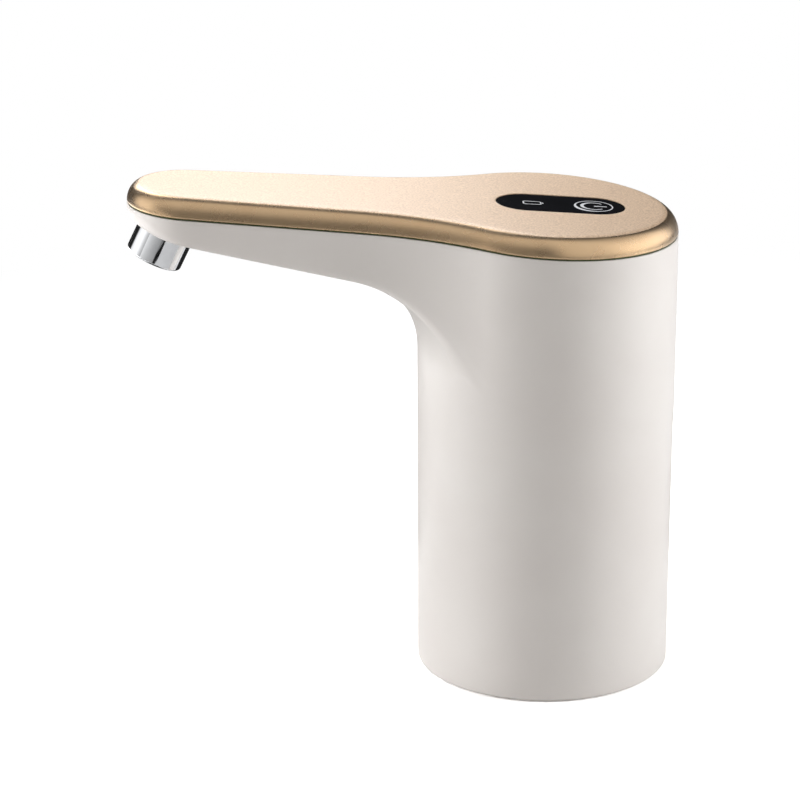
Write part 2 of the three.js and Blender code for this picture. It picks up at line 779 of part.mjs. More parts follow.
// Collar that slips over the jug neck and closes the base
function neckCollar() {
  const outer = socketRadius + socketWall;
  const body = turnedSolid([
    [socketRadius + leadIn, flangeRecess],
    [flangeRadius, flangeRecess],
    [flangeRadius, flangeTop],
    [outer, flangeTop],
    [outer, ceilingTop],
    [spigotNeckRadius + fitGap, ceilingTop],
    [spigotNeckRadius + fitGap, socketDepth],
    [socketRadius, socketDepth],
    [socketRadius, flangeRecess + leadIn],
    [socketRadius + leadIn, flangeRecess],
  ], largeSteps);
  const headSeat = flangeRecess + baseScrewHeadHeight + thinGap;
  const holes = screwPlaces(baseScrewCount, baseScrewCircle).flatMap(([x, y]) => [
    bore(baseScrewRadius + fitGap, 0, flangeTop + cutOverrun, smallSteps, x, y),
    bore(baseScrewHead + thinGap, 0, headSeat, smallSteps, x, y),
  ]);
  const chassisHoles = [-1, 1].map((side) => (
    bore(chassisScrewRadius + fitGap, socketDepth - cutOverrun, ceilingTop + cutOverrun, smallSteps,
      0, side * chassisScrewOffset)
  ));
  return cut(body, [...holes, ...chassisHoles]);
}

function screw(radius, headRadiusOut, headHeight, length) {
  return turnedSolid([
    [0, -headHeight],
    [headRadiusOut, -headHeight],
    [headRadiusOut, 0],
    [radius, 0],
    [radius, length - radius],
    [0, length],
  ], smallSteps);
}

// Silicone seal with lips that grip the jug neck
function neckSeal() {
  const outer = socketRadius - fitGap;
  const inner = outer - sealWall;
  const bottom = socketDepth - sealLength;
  const pitch = (sealLength - sealFlangeThickness) / (sealLipCount + 1);
  const profile = [[inner, bottom], [outer, bottom], [outer, socketDepth]];
  profile.push([outer - sealFlangeReach, socketDepth]);
  profile.push([outer - sealFlangeReach, socketDepth - sealFlangeThickness]);
  profile.push([inner, socketDepth - sealFlangeThickness]);
  for (let i = sealLipCount; i > 0; i -= 1) {
    const height = bottom + pitch * i;
    profile.push([inner, height + sealLipHeight]);
    profile.push([inner - sealLipReach, height + sealLipHeight]);
    profile.push([inner, height - sealLipHeight / 2]);
  }
  profile.push([inner, bottom]);
  return turnedSolid(profile, largeSteps);
}

// Spigot through the ceiling: hose barbs below, tube nipple above
function hoseSpigot() {
  const stem = hoseBore / 2;
  const profile = [];
  const foot = socketDepth - hoseStem;
  for (let i = 0; i < hoseBarbCount; i += 1) {
    const bottom = foot + hoseBarbLength * i;
    profile.push([stem, bottom]);
    profile.push([stem + hoseBarbRise, bottom + hoseBarbLength]);
  }
  profile.push([stem, foot + hoseBarbLength * hoseBarbCount]);
  profile.push([stem, socketDepth - flangeRecess]);
  profile.push([spigotNeckRadius, socketDepth - flangeRecess]);
  profile.push([spigotNeckRadius, ceilingTop]);
  profile.push([spigotFlangeRadius, ceilingTop]);
  profile.push([spigotFlangeRadius, chassisBottom]);
  profile.push([spigotTopNeckRadius, chassisBottom]);
  profile.push([spigotTopNeckRadius, chassisTop]);
  profile.push([nippleRadius, chassisTop]);
  profile.push([nippleRadius, chassisTop + nippleLength]);
  profile.push([spigotBore, chassisTop + nippleLength]);
  profile.push([spigotBore, foot]);
  profile.push(profile[0]);
  return turnedSolid(profile, roundSteps);
}

// Chassis: a round floor with the motor cradle, the battery trough and the rails of the charging board
function chassis() {
  const floor = rod(chassisRadius, chassisBottom, chassisTop, largeSteps);
  const rimOuter = socketRadius + socketWall;
  const rim = solid(sleeveGeometry(rimOuter, rimOuter - chassisRimWidth, ceilingTop, chassisTop, largeSteps));
  const cradleBore = motorRadius + fitGap;
  const cradle = solid(placed(
    rodGeometry(motorCupRadius, chassisBottom, chassisTop + cradleHeight, roundSteps),
    -motorOffset, 0, 0,
  ));
  const cradleTop = chassisTop + cradleHeight;
  const cradleHollow = bore(cradleBore, motorFoot, cradleTop + cutOverrun, roundSteps, -motorOffset);
  const seatBore = cradleBore - motorSeatWidth;
  const seatHollow = bore(seatBore, chassisTop, motorFoot + cutOverrun, roundSteps, -motorOffset);
  const wireSlot = box(
    -motorOffset - wireSlotWidth / 2, -motorOffset + wireSlotWidth / 2,
    0, motorCupRadius + cutOverrun,
    chassisTop, motorFoot - fitGap,
  );
  const batteryBore = batteryRadius + fitGap;
  const socketTop = chassisTop + batterySocketHeight;
  const socket = rod(batteryCupRadius, chassisBottom, socketTop, roundSteps, batteryOffset);
  const troughTop = chassisTop + batteryCradleHeight;
  const trough = rod(batteryCupRadius, chassisBottom, troughTop, roundSteps, batteryOffset);
  const troughSide = box(
    batteryOffset + batteryRadius / 2, batteryOffset + batteryRadius * 2,
    -batteryRadius * 2, batteryRadius * 2,
    chassisBottom, troughTop + cutOverrun,
  );
  const batteryHollow = bore(batteryBore, chassisTop, chassisTop + batteryLength, roundSteps, batteryOffset);
  const bossTop = chassisTop + chassisBossHeight;
  const bosses = [-1, 1].map((side) => (
    rod(chassisBossRadius, chassisBottom, bossTop, smallSteps, 0, side * chassisScrewOffset)
  ));
  const screwHoles = [-1, 1].map((side) => bore(
    chassisScrewRadius + fitGap,
    ceilingTop - cutOverrun,
    bossTop + cutOverrun,
    smallSteps,
    0,
    side * chassisScrewOffset,
  ));
  const railBack = chargeBoardPlace - chargeBoardGap;
  const railFront = chargeBoardPlace + chargeBoardThickness + chargeBoardGap;
  const boardEdge = chargeBoardWidth / 2;
  const railTop = chassisTop + railHeight;
  const rails = [-1, 1].map((side) => {
    const sides = [side * (boardEdge - railWidth * railLipShare), side * (boardEdge + railWidth)];
    return box(railBack, railFront, Math.min(...sides), Math.max(...sides), chassisBottom, railTop);
  });
  const groove = box(
    chargeBoardPlace - fitGap, chargeBoardPlace + chargeBoardThickness + fitGap,
    -boardEdge - fitGap, boardEdge + fitGap,
    chassisTop, railTop + cutOverrun,
  );
  const spigotHole = bore(
    spigotTopNeckRadius + fitGap, chassisBottom - cutOverrun, chassisTop + cutOverrun, smallSteps,
  );
  const body = union([floor, rim, cradle, socket, trough.intersect(troughSide), ...bosses, ...rails]);
  return cut(body, [cradleHollow, seatHollow, wireSlot, batteryHollow, ...screwHoles, groove, spigotHole]);
}

// Motor, drawn with its foot at height zero on its own axis

function motorCan() {
  const inner = motorRadius - motorWall;
  const bossBore = bushRadius + fitGap;
  const body = turnedSolid([
    [inner, 0],
    [motorRadius, 0],
    [motorRadius, motorLength - motorWall],
    [motorRadius - motorWall, motorLength],
    [motorBossRadius, motorLength],
    [motorBossRadius, motorLength + motorBossHeight],
    [bossBore, motorLength + motorBossHeight],
    [bossBore, motorLength - motorWall],
    [inner - motorWall, motorLength - motorWall],
    [inner, motorLength - motorWall * 2],
    [inner, 0],
  ], roundSteps);
  const holes = [-1, 1].map((side) => (
    bore(motorScrewRadius + fitGap, motorLength - motorWall - cutOverrun, motorLength + cutOverrun, smallSteps,
      0, side * motorScrewOffset)
  ));
  return cut(body, holes);
}

function motorEndCap() {
  const radius = motorRadius - motorWall - fitGap;
  const pocket = bushRadius + fitGap;
  const body = turnedSolid([
    [0, 0],
    [radius, 0],
    [radius, endCapThickness],
    [pocket, endCapThickness],
    [pocket, endCapFloor],
    [0, endCapFloor],
  ], roundSteps);
  const [slotHalf, slotDepth] = [terminalWidth / 2 + thinGap, terminalThickness / 2 + thinGap];
  const slots = [-1, 1].map((side) => box(
    -slotHalf, slotHalf,
    side * terminalOffset - slotDepth, side * terminalOffset + slotDepth,
    -cutOverrun, endCapThickness + cutOverrun,
  ));
  return cut(body, slots);
}

function motorTerminal() {
  return box(
    -terminalWidth / 2, terminalWidth / 2,
    -terminalThickness / 2, terminalThickness / 2,
    -terminalDrop, endCapThickness + terminalRise,
  );
}

function motorMagnet() {
  const outer = motorRadius - motorWall - fitGap;
  const half = THREE.MathUtils.degToRad(magnetSpanDegrees) / 2;
  const shape = new THREE.Shape();
  shape.absarc(0, 0, outer, Math.PI / 2 - half, Math.PI / 2 + half, false);
  shape.absarc(0, 0, outer - magnetThickness, Math.PI / 2 + half, Math.PI / 2 - half, true);
  return prism(shape, magnetRise, magnetRise + magnetLength, magnetSteps);
}

function poleTeeth(width, bottom, top) {
  return Array.from({ length: poleCount }, (_, i) => {
    const length = armatureRadius - poleShoeThickness / 2;
    const geometry = new THREE.BoxGeometry(length, width, top - bottom);
    geometry.translate(length / 2, 0, (top + bottom) / 2);
    return solid(geometry.rotateZ((2 * Math.PI * i) / poleCount));
  });
}

function armatureCore() {
  const [bottom, top] = [armatureRise, armatureRise + armatureLength];
  const shoeRadius = armatureRadius - poleShoeThickness;
  const shoes = solid(sleeveGeometry(armatureRadius, shoeRadius, bottom, top, shoeSteps));
  const slots = Array.from({ length: poleCount }, (_, i) => {
    const geometry = new THREE.BoxGeometry(armatureRadius * 2, poleSlotWidth, motorLength);
    geometry.translate(-armatureRadius, 0, motorLength / 2);
    return solid(geometry.rotateZ((2 * Math.PI * i) / poleCount));
  });
  const hub = rod(armatureHubRadius, bottom, top, smallSteps);
  const shaftHole = bore(shaftRadius + fitGap, bottom - cutOverrun, top + cutOverrun, smallSteps);
  return union([cut(shoes, slots), hub, ...poleTeeth(poleToothWidth, bottom, top)]).subtract(shaftHole);
}

function armatureWinding() {
  const [bottom, top] = [armatureRise, armatureRise + armatureLength];
  const coil = sleeveGeometry(
    windingRadius, armatureHubRadius + fitGap, bottom - windingEnd, top + windingEnd, roundSteps,
  );
  return cut(solid(coil), poleTeeth(poleToothWidth + fitGap * 2, bottom - fitGap, top + fitGap));
}

function bush() {
  return solid(sleeveGeometry(bushRadius, shaftRadius + fitGap, 0, bushLength, smallSteps));
}

function commutator() {
  const [inner, top] = [shaftRadius + fitGap, commutatorRise + commutatorLength];
  return solid(sleeveGeometry(armatureHubRadius, inner, commutatorRise, top, smallSteps));
}

function motorShaft() {
  return rod(shaftRadius, endCapFloor + fitGap, motorLength + shaftRise, smallSteps);
}

// Pump head, drawn with its base at height zero on the motor's axis
const wobbleTilt = THREE.MathUtils.degToRad(wobbleTiltDegrees);

function chamberPlaces(circle) {
  return Array.from({ length: chamberCount }, (_, i) => {
    const angle = ((i + 0.5) * 2 * Math.PI) / chamberCount;
    return [circle * Math.cos(angle), circle * Math.sin(angle)];
  });
}

function pumpScrewPlaces() {
  return [[-1, -1], [1, -1], [1, 1], [-1, 1]].map(([x, y]) => [x * pumpScrewOffset, y * pumpScrewOffset]);
}

function pumpBlock(bottom, top) {
  return prism(roundedRectangle(pumpWidth, pumpWidth, pumpCornerRadius), bottom, top, 4);
}

function pumpScrewHoles(bottom, top) {
  return pumpScrewPlaces().map(([x, y]) => bore(pumpScrewRadius + fitGap, bottom, top, smallSteps, x, y));
}

function crankcase() {
  const hollow = bore(crankcaseBore, crankcaseFloor, crankcaseHeight + cutOverrun, roundSteps);
  const bossHole = bore(motorBossRadius + fitGap, -cutOverrun, crankcaseFloor + cutOverrun, smallSteps);
  const screwHoles = pumpScrewHoles(carrierBottom - pumpScrewBite - cutOverrun, carrierBottom + cutOverrun);
  const motorHoles = [-1, 1].map((side) => bore(
    motorScrewRadius + fitGap, -cutOverrun, crankcaseFloor + cutOverrun, smallSteps, 0, side * motorScrewOffset,
  ));
  return cut(pumpBlock(0, crankcaseHeight), [hollow, bossHole, ...screwHoles, ...motorHoles]);
}

// The pin leans in the crank, and its line meets the axis at the middle of the wobble plate.
function leaning(geometry) {
  return solid(placed(geometry.rotateY(wobbleTilt), 0, 0, wobbleHeight));
}

function crank() {
  const pinHole = leaning(boreGeometry(crankPinRadius + fitGap, -crankPinFoot - fitGap, 0, smallSteps));
  const shaftHole = bore(shaftRadius + fitGap, crankRise - cutOverrun, shaftRise + fitGap, smallSteps);
  return cut(rod(crankRadius, crankRise, crankTop, roundSteps), [pinHole, shaftHole]);
}

function crankPin() {
  return leaning(rodGeometry(crankPinRadius, -crankPinFoot, -crankPinTip, smallSteps));
}

function wobblePlate() {
  const half = wobbleThickness / 2;
  const hub = solid(rodGeometry(wobbleHubRadius, -wobbleHubDrop, half, smallSteps));
  const arms = chamberPlaces(chamberCircle).flatMap(([x, y]) => {
    const arm = new THREE.BoxGeometry(chamberCircle, wobbleArmRadius * 2 - pegHole, wobbleThickness);
    arm.translate(chamberCircle / 2, 0, 0);
    return [solid(arm.rotateZ(Math.atan2(y, x))), rod(wobbleArmRadius, -half, half, smallSteps, x, y)];
  });
  const holes = chamberPlaces(chamberCircle).map(([x, y]) => (
    bore(pegHole, -half - cutOverrun, half + cutOverrun, smallSteps, x, y)
  ));
  const pinHole = bore(crankPinRadius + fitGap, -wobbleHubDrop - cutOverrun, half - wobbleBoreRoof, smallSteps);
  const level = cut(union([hub, ...arms]), [...holes, pinHole]);
  return leaning(geometryOf(level));
}

function diaphragmCarrier() {
  const bores = chamberPlaces(chamberCircle).map(([x, y]) => (
    bore(carrierBore, carrierBottom - cutOverrun, carrierTop + cutOverrun, roundSteps, x, y)
  ));
  const screwHoles = pumpScrewHoles(carrierBottom - cutOverrun, carrierTop + cutOverrun);
  return cut(pumpBlock(carrierBottom, carrierTop), [...bores, ...screwHoles]);
}

// One rubber sheet with three cups, each ending in a peg through an arm of the leaning wobble plate
function diaphragm() {
  const cups = chamberPlaces(chamberCircle).map(([x, y]) => {
    const armTop = wobbleHeight - x * Math.sin(wobbleTilt) + wobbleThickness / 2;
    const armRise = wobbleArmRadius * Math.sin(wobbleTilt);
    const cupBottom = armTop + armRise + fitGap;
    const pegBottom = armTop - wobbleThickness;
    const profile = [
      [0, pegBottom],
      [pegRadius, pegBottom],
      [pegRadius, cupBottom],
      [cupRadius - cupWall, cupBottom],
      [cupRadius, cupBottom + cupWall],
      [cupRadius, diaphragmTop],
      [0, diaphragmTop],
    ];
    return solid(placed(turnedGeometry(profile, smallSteps), x * Math.cos(wobbleTilt), y, 0));
  });
  const hollows = chamberPlaces(chamberCircle).map(([x, y]) => {
    const armTop = wobbleHeight - x * Math.sin(wobbleTilt) + wobbleThickness / 2;
    const floor = armTop + wobbleArmRadius * Math.sin(wobbleTilt) + fitGap + cupWall * 2;
    return bore(cupRadius - cupWall, floor, diaphragmTop + cutOverrun, smallSteps, x * Math.cos(wobbleTilt), y);
  });
  const screwHoles = pumpScrewHoles(carrierTop - cutOverrun, diaphragmTop + cutOverrun);
  return cut(union([pumpBlock(carrierTop, diaphragmTop), ...cups]), [...hollows, ...screwHoles]);
}

function valvePlate() {
  const pockets = chamberPlaces(chamberCircle).flatMap(([x, y]) => {
    const ports = [-1, 0, 1].map((quarter) => {
      const angle = Math.atan2(y, x) + (quarter * Math.PI) / 2;
      const [px, py] = [x + inletPortCircle * Math.cos(angle), y + inletPortCircle * Math.sin(angle)];
      return bore(inletPortRadius, diaphragmTop, valvePlateTop + cutOverrun, portSides, px, py);
    });
    return [
      bore(valvePocketRadius, diaphragmTop - cutOverrun, diaphragmTop + valvePocketDepth, roundSteps, x, y),
      bore(umbrellaStemRadius + thinGap, diaphragmTop, valvePlateTop + cutOverrun, portSides, x, y),
      ...ports,
    ];
  });
  const outlets = chamberPlaces(outletPortCircle).map(([x, y]) => (
    bore(outletPortRadius, diaphragmTop, valvePlateTop + cutOverrun, portSides, x, y)
  ));
  const stemHole = bore(
    umbrellaStemRadius + thinGap, diaphragmTop - cutOverrun, valvePlateTop + cutOverrun, portSides,
  );
  const screwHoles = pumpScrewHoles(diaphragmTop - cutOverrun, valvePlateTop + cutOverrun);
  return cut(pumpBlock(diaphragmTop, valvePlateTop), [...pockets, ...outlets, stemHole, ...screwHoles]);
}

// Umbrella valve: a thin disc below the plate, its stem through the plate and a knob above
function inletValve() {
  const discTop = diaphragmTop + valvePocketDepth - thinGap;
  return turnedSolid([
    [0, discTop - umbrellaThickness],
    [umbrellaRadius, discTop - umbrellaThickness / 2],
    [umbrellaRadius, discTop],
    [umbrellaStemRadius, discTop],
    [umbrellaStemRadius, valvePlateTop + thinGap],
    [umbrellaKnobRadius, valvePlateTop + thinGap],
    [umbrellaStemRadius, valvePlateTop + umbrellaKnobHeight],
    [0, valvePlateTop + umbrellaKnobHeight],
  ], roundSteps);
}

function outletValve() {
  const discBottom = valvePlateTop + thinGap;
  return turnedSolid([
    [0, diaphragmTop + fitGap],
    [umbrellaStemRadius, diaphragmTop + fitGap],
    [umbrellaStemRadius, discBottom],
    [outletValveRadius, discBottom],
    [outletValveRadius, discBottom + umbrellaThickness / 2],
    [0, discBottom + umbrellaThickness],
  ], roundSteps);
}

// Cap with the inner delivery space, the outer suction ring and two tube nipples
function pumpCap() {
  const plenumTop = valvePlateTop + plenumDepth;
  const delivery = bore(outletPlenumRadius, valvePlateTop - cutOverrun, plenumTop, roundSteps);
  const suction = solid(sleeveGeometry(
    inletPlenumOuter, inletPlenumInner, valvePlateTop - cutOverrun, plenumTop, roundSteps,
  ));
  const galleryBottom = plenumTop + galleryRoof;
  const gallery = box(
    nippleOffset - nippleBore, inletPlenumInner + galleryWidth,
    -galleryWidth / 2, galleryWidth / 2,
    galleryBottom, galleryBottom + galleryHeight,
  );
  const well = box(
    inletPlenumInner + galleryRoof, inletPlenumInner + galleryWidth,
    -galleryWidth / 2, galleryWidth / 2,
    plenumTop - cutOverrun, galleryBottom + galleryHeight,
  );
  const nipples = [-1, 1].map((side) => (
    rod(nippleRadius, pumpTop - cutOverrun, pumpTop + nippleLength, smallSteps, side * nippleOffset)
  ));
  const boreTop = pumpTop + nippleLength + cutOverrun;
  const deliveryBore = bore(nippleBore, plenumTop - cutOverrun, boreTop, smallSteps, -nippleOffset);
  const suctionBore = bore(nippleBore, galleryBottom, boreTop, smallSteps, nippleOffset);
  const headSinks = pumpScrewPlaces().map(([x, y]) => (
    bore(pumpScrewHead + thinGap, pumpTop - pumpScrewHeadHeight, pumpTop + cutOverrun, smallSteps, x, y)
  ));
  const body = union([pumpBlock(valvePlateTop, pumpTop), ...nipples]);
  return cut(body, [
    delivery, suction, gallery, well, deliveryBore, suctionBore,
    ...pumpScrewHoles(valvePlateTop - cutOverrun, pumpTop), ...headSinks,
  ]);
}

// Tubes, swept in the middle plane from one station to the next
function hollowSweep(stations) {
  const across = new THREE.Vector3(0, 1, 0);
  const section = (station, radius) => {
    const side = new THREE.Vector3().crossVectors(across, station.tangent);
    return Array.from({ length: tubeSides }, (_, i) => {
      const angle = (2 * Math.PI * i) / tubeSides;
      return station.point.clone()
        .addScaledVector(side, radius * Math.cos(angle))
        .addScaledVector(across, radius * Math.sin(angle));
    });
  };
  const outer = stations.map((station) => section(station, tubeRadius));
  const inner = stations.map((station) => section(station, tubeBore)).reverse();
  return solid(loft([...outer, ...inner], true));
}

function bend(centreX, centreZ, radius, from, to, way) {
  return Array.from({ length: bendSteps + 1 }, (_, i) => {
    const angle = from + ((to - from) * i) / bendSteps;
    const [c, s] = [Math.cos(angle), Math.sin(angle)];
    return {
      point: new THREE.Vector3(centreX + radius * c, 0, centreZ + radius * s),
      tangent: new THREE.Vector3(-s * way, 0, c * way),
    };
  });
}

function inletTube() {
  const radius = inletBendRadius;
  const up = new THREE.Vector3(0, 0, 1);
  return hollowSweep([
    { point: new THREE.Vector3(0, 0, chassisTop + fitGap), tangent: up },
    ...bend(-radius, bendHeight, radius, 0, Math.PI, 1),
    { point: new THREE.Vector3(-radius * 2, 0, pumpCapTop + fitGap), tangent: up.clone().negate() },
  ]);
}

// The outlet tube lies along the arm's floor, and the port of the nozzle fitting is on the same line.
const armAngle = Math.atan(armSlopeShare);
const armLean = Math.hypot(1, armSlopeShare);
const tubeLine = armHeight + (wallThickness + fitGap * 2 + tubeRadius) * armLean;
const outletNippleX = -motorOffset - nippleOffset;
const portShift = (tubeLine + armSlopeShare * nozzleReach - nozzleHeight)
  / (Math.cos(nozzleTilt) + armSlopeShare * Math.sin(nozzleTilt));
const portStart = new THREE.Vector3(
  -nozzleReach + portShift * Math.sin(nozzleTilt), 0, nozzleHeight + portShift * Math.cos(nozzleTilt),
);
const portAlong = new THREE.Vector3(Math.cos(armAngle), 0, -Math.sin(armAngle));

function outletTube() {
  const centreX = outletNippleX - outletBendRadius;
  const bendEndX = centreX + outletBendRadius * Math.sin(armAngle);
  const centreZ = tubeLine - armSlopeShare * bendEndX - outletBendRadius * Math.cos(armAngle);
  const end = portStart.clone().addScaledVector(portAlong, fittingDomeRadius + portClear);
  return hollowSweep([
    { point: new THREE.Vector3(outletNippleX, 0, pumpCapTop + fitGap), tangent: new THREE.Vector3(0, 0, 1) },
    ...bend(centreX, centreZ, outletBendRadius, 0, Math.PI / 2 - armAngle, 1),
    { point: end, tangent: portAlong.clone().negate() },
  ]);
}

// Nozzle pieces, in the nozzle's own frame
function nozzleSleeve() {
  return turnedSolid([
    [sleeveBore - sleeveLip, 0],
    [sleeveRadius - sleeveEdge, 0],
    [sleeveRadius - sleeveEdge * (1 - Math.SQRT1_2), sleeveEdge * (1 - Math.SQRT1_2)],
    [sleeveRadius, sleeveEdge],
    [sleeveRadius, sleeveLength],
    [sleeveBore, sleeveLength],
    [sleeveBore, sleeveLipHeight],
    [sleeveBore - sleeveLip, sleeveLipHeight],
    [sleeveBore - sleeveLip, 0],
  ], largeSteps);
}

const aeratorBottom = sleeveLipHeight + fitGap;

function aeratorInsert() {
  const radius = sleeveBore - fitGap;
  const holes = [bore(aeratorHoleRadius, 0, sleeveLength, portSides)];
  for (let row = 1; row <= aeratorRows; row += 1) {
    for (let i = 0; i < row * 6; i += 1) {
      const angle = (2 * Math.PI * i) / (row * 6);
      const [x, y] = [row * aeratorRowPitch * Math.cos(angle), row * aeratorRowPitch * Math.sin(angle)];
      holes.push(bore(aeratorHoleRadius, 0, sleeveLength, portSides, x, y));
    }
  }
  return cut(rod(radius, aeratorBottom, aeratorBottom + aeratorThickness, roundSteps), holes);
}

function outletFitting() {
  const stemRadius = ledgeHole - fitGap;
  const stemBottom = aeratorBottom + aeratorThickness + fitGap;
  const flangeBottom = ledgeTop + fitGap;
  const flangeEnd = flangeBottom + fittingFlangeThickness;
  const domeTop = flangeEnd + fittingDomeHeight;
  const body = turnedSolid([
    [0, stemBottom],
    [stemRadius, stemBottom],
    [stemRadius, flangeBottom],
    [fittingFlangeRadius, flangeBottom],
    [fittingFlangeRadius, flangeEnd],
    [fittingDomeRadius, flangeEnd],
    [fittingDomeRadius, domeTop - fittingDomeWall],
    [fittingDomeRadius - fittingDomeWall, domeTop],
    [0, domeTop],
  ], roundSteps);
  const stemBore = bore(stemRadius - fittingWall, stemBottom - cutOverrun, flangeBottom, roundSteps);
  const domeBore = bore(fittingDomeRadius - fittingDomeWall, stemBottom, domeTop - fittingDomeWall, smallSteps);
  const toPort = (geometry) => {
    geometry.rotateY(Math.PI / 2 + armAngle - nozzleTilt);
    return solid(placed(geometry, 0, 0, portShift));
  };
  const port = toPort(rodGeometry(nippleRadius, 0, portLength, smallSteps));
  const portBore = toPort(boreGeometry(nippleBore, 0, portLength + cutOverrun, smallSteps));
  return cut(body.add(port), [stemBore, domeBore, portBore]);
}

// Battery and charging board
function batteryCell() {
  const shoulder = batteryLength - batteryNubHeight;
  return turnedSolid([
    [0, 0],
    [batteryRadius - batteryEdge, 0],
    [batteryRadius, batteryEdge],
    [batteryRadius, shoulder - batteryEdge],
    [batteryRadius - batteryEdge, shoulder],
    [batteryNubRadius, shoulder],
    [batteryNubRadius, batteryLength],
    [0, batteryLength],
  ], roundSteps);
}

function chargeBoard() {
  return box(0, chargeBoardThickness, -chargeBoardWidth / 2, chargeBoardWidth / 2, 0, chargeBoardHeight);
}

function usbSocket() {
  const shell = prismGeometry(roundedRectangle(usbWidth, usbDepth, usbCornerRadius), 0, usbLength, 4);
  const inside = roundedRectangle(usbWidth - usbShell * 2, usbDepth - usbShell * 2, usbCornerRadius - usbShell);
  const hollow = prismGeometry(inside, usbBack, usbLength + cutOverrun, 4);
  const [tongueFoot, tongueTop] = [usbBack / 2, usbLength - usbTongueInset];
  const tongue = new THREE.BoxGeometry(usbTongueWidth, usbTongueThickness, tongueTop - tongueFoot);
  tongue.translate(0, 0, (tongueTop + tongueFoot) / 2);
  const body = solid(shell).subtract(solid(hollow)).add(solid(tongue));
  return solid(geometryOf(body).rotateZ(Math.PI / 2).rotateY(Math.PI / 2));
}

// Assembly
const product = new THREE.Group();

function group(x, y, z) {
  const place = new THREE.Group();
  place.position.set(x, y, z);
  product.add(place);
  return place;
}

function add(parent, name, body, look, x = 0, y = 0, z = 0) {
  const mesh = new THREE.Mesh(geometryOf(body), look);
  mesh.name = name;
  mesh.position.set(x, y, z);
  parent.add(mesh);
}

add(product, 'main_housing', mainHousing(), whitePlastic);

const seamGroup = group(0, 0, seamHeight);
add(seamGroup, 'cover_seal', coverSeal(), darkRubber);
add(seamGroup, 'top_cover', topCover(), goldPaint);
add(seamGroup, 'touch_panel', touchPanel(), blackGlass);
add(seamGroup, 'control_board', controlBoard(), boardGreen);
postPlaces().forEach((x, i) => add(seamGroup, `board_screw_${i + 1}`, boardScrew(x), zincPlate));
add(seamGroup, 'touch_spring', touchSpring(), steel);

add(product, 'neck_collar', neckCollar(), whitePlastic);
add(product, 'neck_seal', neckSeal(), clearSilicone);
add(product, 'hose_spigot', hoseSpigot(), whiteNylon);
screwPlaces(baseScrewCount, baseScrewCircle).forEach(([x, y], i) => {
  const body = screw(baseScrewRadius, baseScrewHead, baseScrewHeadHeight, baseScrewLength);
  add(product, `base_screw_${i + 1}`, body, zincPlate, x, y, flangeRecess + baseScrewHeadHeight);
});
[-1, 1].forEach((side, i) => {
  const length = ceilingThickness + chassisFloor + chassisBossHeight;
  const body = screw(chassisScrewRadius, chassisScrewHead, chassisScrewHeadHeight, length);
  add(product, `chassis_screw_${i + 1}`, body, zincPlate, 0, side * chassisScrewOffset, socketDepth);
});
add(product, 'chassis', chassis(), greyPlastic);

const motorGroup = group(-motorOffset, 0, motorFoot);
add(motorGroup, 'motor_can', motorCan(), zincPlate);
add(motorGroup, 'motor_end_cap', motorEndCap(), blackNylon);
add(motorGroup, 'lower_bush', bush(), brass, 0, 0, endCapFloor);
add(motorGroup, 'upper_bush', bush(), brass, 0, 0, motorLength + motorBossHeight - bushLength);
add(motorGroup, 'motor_terminal_1', motorTerminal(), brass, 0, -terminalOffset, 0);
add(motorGroup, 'motor_terminal_2', motorTerminal(), brass, 0, terminalOffset, 0);
add(motorGroup, 'motor_magnet_1', motorMagnet(), ferrite);
const farMagnet = new THREE.Mesh(geometryOf(motorMagnet()), ferrite);
farMagnet.name = 'motor_magnet_2';
farMagnet.rotation.z = Math.PI;
motorGroup.add(farMagnet);
add(motorGroup, 'armature_core', armatureCore(), steel);
add(motorGroup, 'armature_winding', armatureWinding(), copper);
add(motorGroup, 'commutator', commutator(), copper);
add(motorGroup, 'motor_shaft', motorShaft(), steel);

const pumpGroup = group(-motorOffset, 0, pumpFoot);
add(pumpGroup, 'crankcase', crankcase(), blackNylon);
add(pumpGroup, 'crank', crank(), whiteNylon);
add(pumpGroup, 'crank_pin', crankPin(), steel);
add(pumpGroup, 'wobble_plate', wobblePlate(), whiteNylon);
add(pumpGroup, 'diaphragm_carrier', diaphragmCarrier(), blackNylon);
add(pumpGroup, 'diaphragm', diaphragm(), darkRubber);
add(pumpGroup, 'valve_plate', valvePlate(), whiteNylon);
chamberPlaces(chamberCircle).forEach(([x, y], i) => {
  add(pumpGroup, `inlet_valve_${i + 1}`, inletValve(), clearSilicone, x, y, 0);
});
add(pumpGroup, 'outlet_valve', outletValve(), clearSilicone);
add(pumpGroup, 'pump_cap', pumpCap(), blackNylon);
pumpScrewPlaces().forEach(([x, y], i) => {
  const length = pumpTop - pumpScrewHeadHeight - carrierBottom + pumpScrewBite;
  const body = screw(pumpScrewRadius, pumpScrewHead, pumpScrewHeadHeight, length);
  const mesh = new THREE.Mesh(geometryOf(body), zincPlate);
  mesh.name = `pump_screw_${i + 1}`;
  mesh.rotation.x = Math.PI;
  mesh.position.set(x, y, pumpTop - pumpScrewHeadHeight + thinGap);
  pumpGroup.add(mesh);
});
[-1, 1].forEach((side, i) => {
  const length = crankcaseFloor + motorScrewBite;
  const body = screw(motorScrewRadius, motorScrewHead, motorScrewHeadHeight, length);
  const mesh = new THREE.Mesh(geometryOf(body), zincPlate);
  mesh.name = `motor_screw_${i + 1}`;
  mesh.rotation.x = Math.PI;
  mesh.position.set(0, side * motorScrewOffset, crankcaseFloor + thinGap);
  pumpGroup.add(mesh);
});

add(product, 'inlet_tube', inletTube(), clearSilicone);
add(product, 'outlet_tube', outletTube(), clearSilicone);

